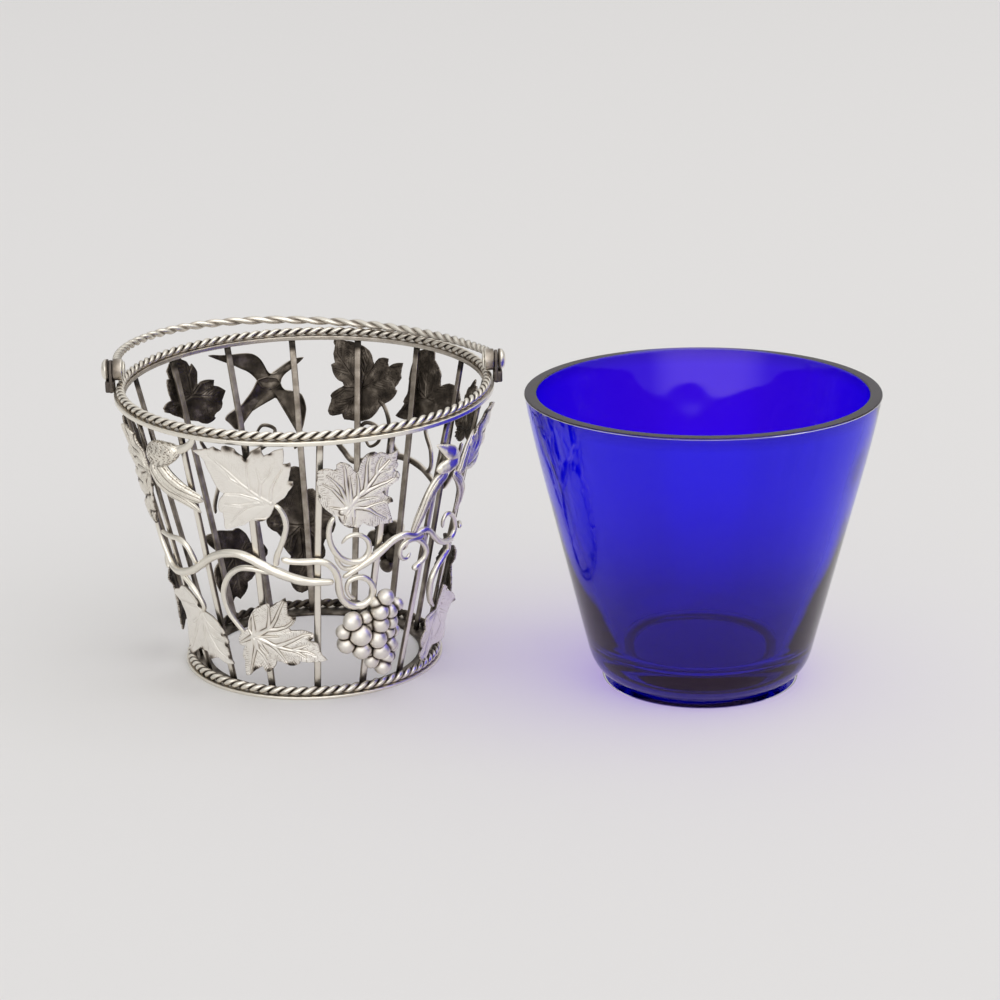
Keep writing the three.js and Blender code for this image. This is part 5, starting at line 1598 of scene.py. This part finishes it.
# Birds: rounded bodies and long feathers along routes on the cage, and a raised wing.
def bird_body(work, pixels):
    """A body along a line drawn over the picture: an oval tube, domed at its ends, that is worked in
    rows of overlapping scales, in long feathers, or not at all."""
    line = np.array(pixels)
    azimuth, share = under_pixels(line[:, :2], BIRD_STANDOFF)
    route = np.column_stack([azimuth, share, line[:, 2]])
    centres, outwards, radius, run = along_cage(route, BIRD_RADIUS, BIRD_FLAT_SHARE, BODY_STEP)
    radius = domed(radius, run, BIRD_END_SHARE * BIRD_RADIUS, LEAST_BODY_SHARE)
    angle = np.linspace(0, TURN, BODY_SIDES, endpoint=False)[None]
    run = run[:, None]
    # The side towards the cage is painted dark as tarnish and shade.
    behind = smooth_step(*BODY_BACK_EDGES, np.cos(angle))
    swell, dark = 0 * run, 0 * run
    if work == "scales":
        row = run / SCALE_LENGTH + 0.5 * (np.round(angle / TURN * SCALES_ROUND) % 2)
        curve = SCALE_CURVE * np.cos(SCALES_ROUND * angle)
        place = (row + curve + 0.12 * np.sin(5 * angle + 2 * run)) % 1
        swell = SCALE_SWELL * place
        dark = SCALE_DARKNESS * smooth_step(*SCALE_EDGES, place)
    if work == "feathers":
        wave = np.abs(np.sin(3.5 * angle + 0.35 * np.sin(0.8 * run) + 0.1 * run))
        swell = FEATHER_SWELL * wave ** 0.7
        dark = FEATHER_DARKNESS * smooth_step(*FEATHER_EDGES, wave)
    points = tube(centres, outwards, radius * BIRD_FLAT_SHARE, radius, BODY_SIDES)
    points = centres[:, None] + (points - centres[:, None]) * (BODY_TRIM + swell)[..., None]
    dark = np.maximum(dark, BODY_BACK_DARKNESS * behind)
    return patch(points, tone_and_shade=dark, tooling=BODY_TOOLING[work])


def wing_relief(outline, root):
    """A wing's long feathers: wavy ridges that fan out from its root, with dark lines between them."""
    reach_of_all = np.linalg.norm(outline - root, axis=1).max()

    def relief(flat, share):
        spread = flat - root
        around = np.arctan2(spread[..., 1], spread[..., 0])
        reach = np.linalg.norm(spread, axis=-1) / reach_of_all
        wave = np.abs(np.sin(7 * around + 1.2 * np.sin(9 * reach) + 0.4 * np.sin(23 * reach)))
        rise = BLADE_SEAT + BLADE_CROWN * (1 - share) + WING_CURL * reach**2 + FEATHER_RISE * wave
        tone_and_shade = WING_DARKNESS * smooth_step(*WING_FEATHER_EDGES, wave)
        tooling = WING_TOOLING * smooth_step(*WING_TOOLING_EDGES, share) + 0 * reach
        return rise, tone_and_shade, tooling, 12 * around
    return relief


def wing(edge, middle):
    """The wing's blade, from places on the cage."""
    places = np.array(edge, float)
    outline = outline_through(drawn_flat(places[:, 0], places[:, 1], middle), *WING_BOW)
    root = drawn_flat(places[:1, 0], places[:1, 1], middle)[0]
    return embossed(outline, middle, WING_ROWS, wing_relief(outline, root), WING_THICK, WING_BACK_DARKNESS)


def swallow_relief(flat, share):
    """How the swallow stands off the cage: a smooth crown that rolls down to its edges."""
    rise = BLADE_SEAT + SWALLOW_RISE * np.sqrt(1 - SWALLOW_ROLL * share**2) + 0 * flat[..., 0]
    return rise, SWALLOW_DARKNESS + 0 * rise, SWALLOW_TOOLING + 0 * rise, 0 * rise


def swallow_blade(hub, outline):
    """One half of the swallow, its two wings or the two ends of its tail."""
    anchor = hub_under(hub, True)
    places = drawn_flat(*under_pixels(outline, LEAF_STANDOFF, True), anchor)
    gaps = np.linalg.norm(places - np.roll(places, 1, 0), axis=1)
    rounded = eased(places, np.minimum(SWALLOW_EASE_SHARE * gaps, SWALLOW_EASE_MOST))
    return embossed(rounded, anchor, SWALLOW_ROWS, swallow_relief, WING_THICK, SWALLOW_BACK_DARKNESS)


def add_birds(silver):
    """The two birds at the sides and the swallow at the back."""
    for name, shares in WING_SHARES.items():
        patches = [bird_body(work, line) for work, line in BIRD_BODY_PIXELS[name]]
        patches.append(wing(shares["edge"], shares["middle"]))
        build(name.replace("bird", "finch"), patches, silver, "pail", [name])
    build("swallow", [swallow_blade(*blade) for blade in SWALLOW_BLADE_PIXELS], silver,
          "pail", ["swallow_back"])


# Grapes: round berries that press into each other.
def berry_rows(azimuth, top, rows):
    """Centres and radii of rows of berries on the cage, the middle ones further out."""
    width = 2 * BERRY_RADIUS
    radius = cage_radius(top)
    centres = []
    for row, (count, shift) in enumerate(rows):
        share = top - row * width * BERRY_ROW_SHARE / UPRIGHT_HEIGHT
        middle = np.arange(count) - (count - 1) / 2
        across = width * (middle * BERRY_PITCH_SHARE + shift)
        bulge = width * BERRY_BULGE_SHARE * (1 - np.abs(middle) / (count / 2))
        around = azimuth + np.degrees(across / radius)
        centres.append(on_cage(around, share, SEAT_GAP + BERRY_RADIUS + bulge))
    centres = np.concatenate(centres)
    return centres, np.full(len(centres), BERRY_RADIUS)


def berries_drawn(pixels):
    """Centres and radii of berries that are drawn over the picture."""
    table = np.array(pixels)
    radii = BERRY_FIT * BERRY_RADIUS * table[:, 2]
    azimuth, share = under_pixels(table[:, :2], SEAT_GAP + BERRY_RADIUS)
    out = SEAT_GAP + radii + BERRY_READ_BULGE * BERRY_RADIUS * table[:, 3]
    return on_cage(azimuth, share, out), radii


def bunch(centres, radii):
    """A bunch of berries. A berry's radius swells and dips a little with the angle round it. It is
    painted dark as shade where a neighbour is close, and on its side towards the cage as tarnish
    and shade."""
    polar = np.linspace(0, math.pi, 30)[1:-1, None]
    around = np.linspace(0, TURN, 40, endpoint=False)[None]
    ball = np.stack(np.broadcast_arrays(
        np.sin(polar) * np.cos(around), np.sin(polar) * np.sin(around), -np.cos(polar)), -1)
    patches = []
    for number, (centre, radius) in enumerate(zip(centres, radii)):
        swell = 1 + BERRY_SWELL * np.sin(2 * around + 1.7 * number) * np.sin(polar)
        swell = swell + BERRY_DIP * np.cos(3 * polar + number)
        points = centre + radius * swell[..., None] * ball
        others = np.delete(centres, number, axis=0)
        gaps = np.linalg.norm(points[..., None, :] - others, axis=-1) - np.delete(radii, number)
        inward = np.sum(ball * unit(centre * [1, 1, 0]), axis=-1)
        crevice = CREVICE_DARKNESS * smooth_step(*CREVICE_EDGES, gaps.min(axis=-1))
        behind = BERRY_BACK_DARKNESS * smooth_step(*BERRY_BACK_EDGES, inward)
        tone_and_shade = np.maximum(BERRY_DARKNESS + crevice, behind)
        patches.append(patch(points, tone_and_shade=tone_and_shade))
    return patches


def add_grapes(silver, satin):
    """The bunch in front and the one at the back."""
    build("grape_bunch_front", bunch(*berries_drawn(GRAPE_FRONT_PIXELS)), satin,
          "pail", ["grapes_front"])
    build("grape_bunch_back", bunch(*berry_rows(**GRAPE_BACK_SHARES)), silver,
          "pail", ["grapes_back"])


# The liner: a glass tumbler with a rounded lip.
def liner_profile():
    """The liner's section from the middle of its underside round the lip to the middle of its floor,
    with a slightly hollow base, a rounded foot and a wall that swells a little on its way up."""
    top, radius = liner_high[2], (liner_high[0] - liner_low[0]) / 2
    shoulder = top - LINER_SHOULDER_DROP
    lean = (LINER_SHOULDER_RADIUS - LINER_BASE_RADIUS) / (shoulder - LINER_CORNER)
    hollow, ring = LINER_HOLLOW_SHARES
    waist = LINER_BASE_RADIUS + lean * shoulder / 2 - LINER_WAIST
    outer = [
        [LINER_HUB, LINER_HOLLOW],
        [LINER_BASE_RADIUS * hollow, LINER_HOLLOW_EDGE],
        [LINER_BASE_RADIUS * ring, 0],
        [LINER_BASE_RADIUS, 0],
        [waist, shoulder / 2],
        [LINER_SHOULDER_RADIUS, shoulder],
        [radius, top - LINER_LIP_ROUND],
        [radius, top],
        [radius - LINER_WALL, top],
        [LINER_SHOULDER_RADIUS - LINER_WALL, shoulder],
        [waist - LINER_WALL * LINER_WAIST_WALL_SHARE, shoulder / 2],
        [LINER_HEEL_RADIUS, LINER_HEEL_HEIGHT],
        [LINER_FLOOR_RADIUS, LINER_FLOOR],
        [LINER_FLOOR_RADIUS * LINER_FLOOR_FLAT_SHARE, LINER_FLOOR],
        [LINER_HUB, LINER_FLOOR],
    ]
    return eased(outer, LINER_EASES, steps=10, is_closed=False)


def add_liner(glass):
    """The liner as one closed surface."""
    middle = (liner_low + liner_high) / 2
    points = turned(liner_profile(), LINER_SIDES) + [middle[0], middle[1], 0]
    # The glass is tinted darker towards its foot, and painted darker at its lip as shade.
    depth = smooth_step(GLASS_SHADE_TOP, GLASS_SHADE_BOTTOM, points[..., 2])
    lip = smooth_step(liner_high[2] - LINER_LIP_DEPTH, liner_high[2] - LINER_LIP_EDGE, points[..., 2])
    depth = np.maximum(depth, GLASS_LIP_SHADE * lip)
    build("liner_tumbler", [patch(points, tone_and_shade=depth)], glass, "liner", ["glass_liner"])


# Materials.
def node(tree, kind, inputs=(), **settings):
    """One node with its settings. An input is given a value, or linked where a socket is given."""
    made = tree.nodes.new(kind)
    for title, value in settings.items():
        setattr(made, title, value)
    for title, value in dict(inputs).items():
        if isinstance(value, bpy.types.NodeSocket):
            tree.links.new(value, made.inputs[title])
        else:
            made.inputs[title].default_value = value
    return made


def math_node(tree, operation, first, second=0.0, third=0.0, clamp=False):
    """The result of one sum, product or other operation."""
    return node(tree, "ShaderNodeMath", {0: first, 1: second, 2: third}, operation=operation,
                use_clamp=clamp).outputs[0]


def ramp(tree, factor, stops):
    """A colour read off between stops of (place, colour)."""
    made = node(tree, "ShaderNodeValToRGB", {"Fac": factor})
    elements = made.color_ramp.elements
    while len(elements) < len(stops):
        elements.new(0.5)
    for element, (place, colour) in zip(elements, stops):
        element.position = place
        element.color = (*colour, 1)
    return made.outputs["Color"]


def soft_range(tree, value, low, high, most=1.0):
    """0 at low, most at high, and a smooth S between them."""
    return node(tree, "ShaderNodeMapRange", {
        "Value": value, "From Min": low, "From Max": high, "To Max": most,
    }, interpolation_type="SMOOTHSTEP").outputs["Result"]


def painted(tree, title):
    """One of the numbers that a piece carries at its points."""
    return node(tree, "ShaderNodeAttribute", attribute_name=title).outputs["Fac"]


def noise(tree, place, scale, detail):
    """Cloudy noise between 0 and 1."""
    made = node(tree, "ShaderNodeTexNoise", {"Vector": place, "Scale": scale, "Detail": detail})
    return made.outputs["Fac"]


def new_material(name):
    """An empty material and its node tree."""
    material = bpy.data.materials.new(name)
    material.use_nodes = True
    material.node_tree.nodes.clear()
    return material, material.node_tree


def silver_material(name, stops, smoothest, roughest):
    """Worked silver. Its darkness is the oxide of the surface together with painted shade, mottled by
    noise and deeper in the punched marks. The colour runs through the stops with it, and the surface
    grows rougher with it."""
    material, tree = new_material(name)
    place = node(tree, "ShaderNodeTexCoord").outputs["Object"]
    tone_and_shade, tooling, hatching = (painted(tree, title) for title in SHADING)
    mottle = noise(tree, place, MOTTLE_SCALE, MOTTLE_DETAIL)
    grain = noise(tree, place, GRAIN_SCALE, GRAIN_DETAIL)
    marks = node(tree, "ShaderNodeTexVoronoi", {"Vector": place, "Scale": MARK_SCALE}).outputs["Distance"]
    pit = soft_range(tree, marks, *PIT_EDGES)
    line = math_node(tree, "SINE", math_node(tree, "MULTIPLY", hatching, TURN / HATCH_PITCH))
    line = soft_range(tree, line, *LINE_EDGES)
    dash = soft_range(tree, noise(tree, place, DASH_SCALE, DASH_DETAIL), *DASH_EDGES)
    line = math_node(tree, "MULTIPLY", line, dash)
    pit = math_node(tree, "MAXIMUM", math_node(tree, "MULTIPLY", pit, PUNCH_SHARE), line)
    pit = math_node(tree, "MULTIPLY", pit, tooling)
    spread = math_node(tree, "MULTIPLY_ADD", tone_and_shade, MOTTLE_WITH_DARKNESS, MOTTLE_DARKNESS)
    uneven = math_node(tree, "ADD", mottle, -0.5)
    dark = math_node(tree, "MULTIPLY_ADD", uneven, spread, tone_and_shade)
    dark = math_node(tree, "MULTIPLY_ADD", pit, PIT_DARKNESS, dark, clamp=True)
    rough = node(tree, "ShaderNodeMapRange", {"Value": dark, "To Min": smoothest, "To Max": roughest})
    rough = math_node(tree, "MULTIPLY_ADD", grain, GRAIN_ROUGHNESS, rough.outputs["Result"])
    height = math_node(tree, "MULTIPLY_ADD", mottle, MOTTLE_HEIGHT, grain)
    height = math_node(tree, "MULTIPLY_ADD", pit, PIT_HEIGHT, height)
    bump = node(tree, "ShaderNodeBump", {
        "Strength": BUMP_STRENGTH, "Distance": BUMP_DEPTH * MM, "Height": height,
    })
    surface = node(tree, "ShaderNodeBsdfPrincipled", {
        "Base Color": ramp(tree, dark, stops),
        "Metallic": 1,
        "Roughness": rough,
        "Normal": bump.outputs["Normal"],
    })
    node(tree, "ShaderNodeOutputMaterial", {"Surface": surface.outputs["BSDF"]})
    return material


def glass_material():
    """Cobalt glass: clear, and bluer and darker with the way that light runs in it. Its surface is a
    little wavy, and the light that it lets through makes its shadow blue."""
    material, tree = new_material("cobalt glass")
    place = node(tree, "ShaderNodeTexCoord").outputs["Object"]
    depth = painted(tree, "tone_and_shade")
    waves = noise(tree, place, WAVE_SCALE, WAVE_DETAIL)
    bump = node(tree, "ShaderNodeBump", {
        "Strength": WAVE_STRENGTH, "Distance": WAVE_DEPTH * MM, "Height": waves,
    })
    # Its colour darkens with the value painted on the liner: towards the foot, and as shade at the lip.
    glass = node(tree, "ShaderNodeBsdfPrincipled", {
        "Base Color": ramp(tree, depth, [(0, GLASS_COLOUR), (1, GLASS_FOOT_COLOUR)]),
        "Roughness": GLASS_ROUGHNESS,
        "IOR": GLASS_BENDING,
        "Transmission Weight": 1,
        "Specular Tint": (*GLASS_SHEEN_COLOUR, 1),
        "Normal": bump.outputs["Normal"],
    })
    path = node(tree, "ShaderNodeLightPath")
    tint = node(tree, "ShaderNodeBsdfTransparent", {
        "Color": ramp(
            tree, path.outputs["Is Shadow Ray"], [(0, GLASS_HAZE_COLOUR), (1, GLASS_SHADOW_COLOUR)]),
    })
    is_light = math_node(tree, "MAXIMUM", path.outputs["Is Shadow Ray"], path.outputs["Is Diffuse Ray"])
    mixed = node(tree, "ShaderNodeMixShader", {
        0: is_light, 1: glass.outputs["BSDF"], 2: tint.outputs["BSDF"],
    })
    thinned = math_node(
        tree, "MULTIPLY_ADD", path.outputs["Is Shadow Ray"], -SHADOW_THINNING_DROP, DIFFUSE_THINNING)
    thinned = math_node(tree, "MULTIPLY", thinned, -GLASS_DENSITY)
    density = math_node(tree, "MULTIPLY_ADD", is_light, thinned, GLASS_DENSITY)
    inside = node(tree, "ShaderNodeVolumeAbsorption", {
        "Color": (*GLASS_DEPTH_COLOUR, 1), "Density": density,
    })
    node(tree, "ShaderNodeOutputMaterial", {
        "Surface": mixed.outputs["Shader"], "Volume": inside.outputs["Volume"],
    })
    return material


# The stage: floor, light and camera.
def add_floor():
    """A pale level floor that runs far behind the pail."""
    material, tree = new_material("pale floor")
    surface = node(tree, "ShaderNodeBsdfPrincipled", {
        "Base Color": (*FLOOR_COLOUR, 1), "Roughness": FLOOR_ROUGHNESS,
    })
    node(tree, "ShaderNodeOutputMaterial", {"Surface": surface.outputs["BSDF"]})
    half = FLOOR_HALF_WIDTH * MM
    mesh = bpy.data.meshes.new("floor")
    corners_of_floor = [(-half, -half, 0), (half, -half, 0), (half, half, 0), (-half, half, 0)]
    mesh.from_pydata(corners_of_floor, [], [(0, 1, 2, 3)])
    mesh.materials.append(material)
    floor = bpy.data.objects.new("floor", mesh)
    bpy.context.scene.collection.objects.link(floor)


def add_world():
    """An even white room for the light, and the photograph's pale backdrop for what is seen directly,
    in reflections and through glass."""
    world = bpy.data.worlds.new("pale studio")
    world.use_nodes = True
    tree = world.node_tree
    tree.nodes.clear()
    path = node(tree, "ShaderNodeLightPath")
    is_seen = math_node(tree, "MAXIMUM", path.outputs["Is Camera Ray"], path.outputs["Is Glossy Ray"])
    is_seen = math_node(tree, "MAXIMUM", is_seen, path.outputs["Is Transmission Ray"])
    room = node(tree, "ShaderNodeBackground", {"Color": (1, 1, 1, 1), "Strength": ROOM_LIGHT})
    way = node(tree, "ShaderNodeTexCoord").outputs["Generated"]
    height = node(tree, "ShaderNodeSeparateXYZ", {"Vector": way}).outputs["Z"]
    sky = node(tree, "ShaderNodeMapRange", {
        "Value": height, "From Min": 0, "From Max": SKY_HEIGHT, "To Min": HORIZON_SHARE, "To Max": 1,
    }).outputs["Result"]
    ahead = node(tree, "ShaderNodeVectorMath", {0: way, 1: FRONT_LIGHT_WAY}, operation="DOT_PRODUCT")
    glow = soft_range(tree, ahead.outputs["Value"], *FRONT_LIGHT_EDGES, FRONT_LIGHT)
    sky = math_node(tree, "ADD", sky, glow)
    shown = node(tree, "ShaderNodeMix", {
        "Factor": path.outputs["Is Glossy Ray"], "A": 1, "B": sky,
    }, data_type="FLOAT").outputs["Result"]
    backdrop = node(tree, "ShaderNodeBackground", {"Color": (*BACKDROP_COLOUR, 1), "Strength": shown})
    mixed = node(tree, "ShaderNodeMixShader", {
        0: is_seen, 1: room.outputs["Background"], 2: backdrop.outputs["Background"],
    })
    node(tree, "ShaderNodeOutputWorld", {"Surface": mixed.outputs["Shader"]})
    bpy.context.scene.world = world


def add_lamps():
    """Soft square lamps that face the pail. Each has a place, a width and a power in watts."""
    for number, (place, width, power) in enumerate(LAMPS):
        light = bpy.data.lights.new(f"softbox_{number}", "AREA")
        light.size = width * MM
        light.energy = power
        lamp = bpy.data.objects.new(light.name, light)
        start = Vector(place) * MM
        way = Vector(LAMP_TARGET) * MM - start
        facing = way.to_track_quat("-Z", "Y").to_matrix().to_4x4()
        lamp.matrix_world = Matrix.Translation(start) @ facing
        bpy.context.scene.collection.objects.link(lamp)


def add_camera():
    """The camera at the photograph's place, with the photograph's lens."""
    data = bpy.data.cameras.new("camera")
    data.lens = CAMERA_LENS
    data.sensor_width = SENSOR_WIDTH
    data.clip_start = 0.01
    camera = bpy.data.objects.new("camera", data)
    camera.matrix_world = Matrix.Translation(Vector(CAMERA_PLACE) * MM) @ view_axes().to_4x4()
    bpy.context.scene.collection.objects.link(camera)
    bpy.context.scene.camera = camera


silver = silver_material("worked silver", SILVER_STOPS, *SILVER_ROUGHNESS)
satin = silver_material("satin silver", SATIN_STOPS, *SATIN_ROUGHNESS)
shade_silver = silver_material("silver in painted shade", SHADE_SILVER_STOPS, *SHADE_SILVER_ROUGHNESS)
glass = glass_material()

add_rings(silver)
add_uprights(silver)
add_hinges(silver, shade_silver)
add_vines(silver)
add_leaves(satin)
add_birds(silver)
add_grapes(silver, satin)
add_liner(glass)

add_floor()
add_world()
add_lamps()
add_camera()
bpy.context.scene.view_settings.view_transform = "Standard"
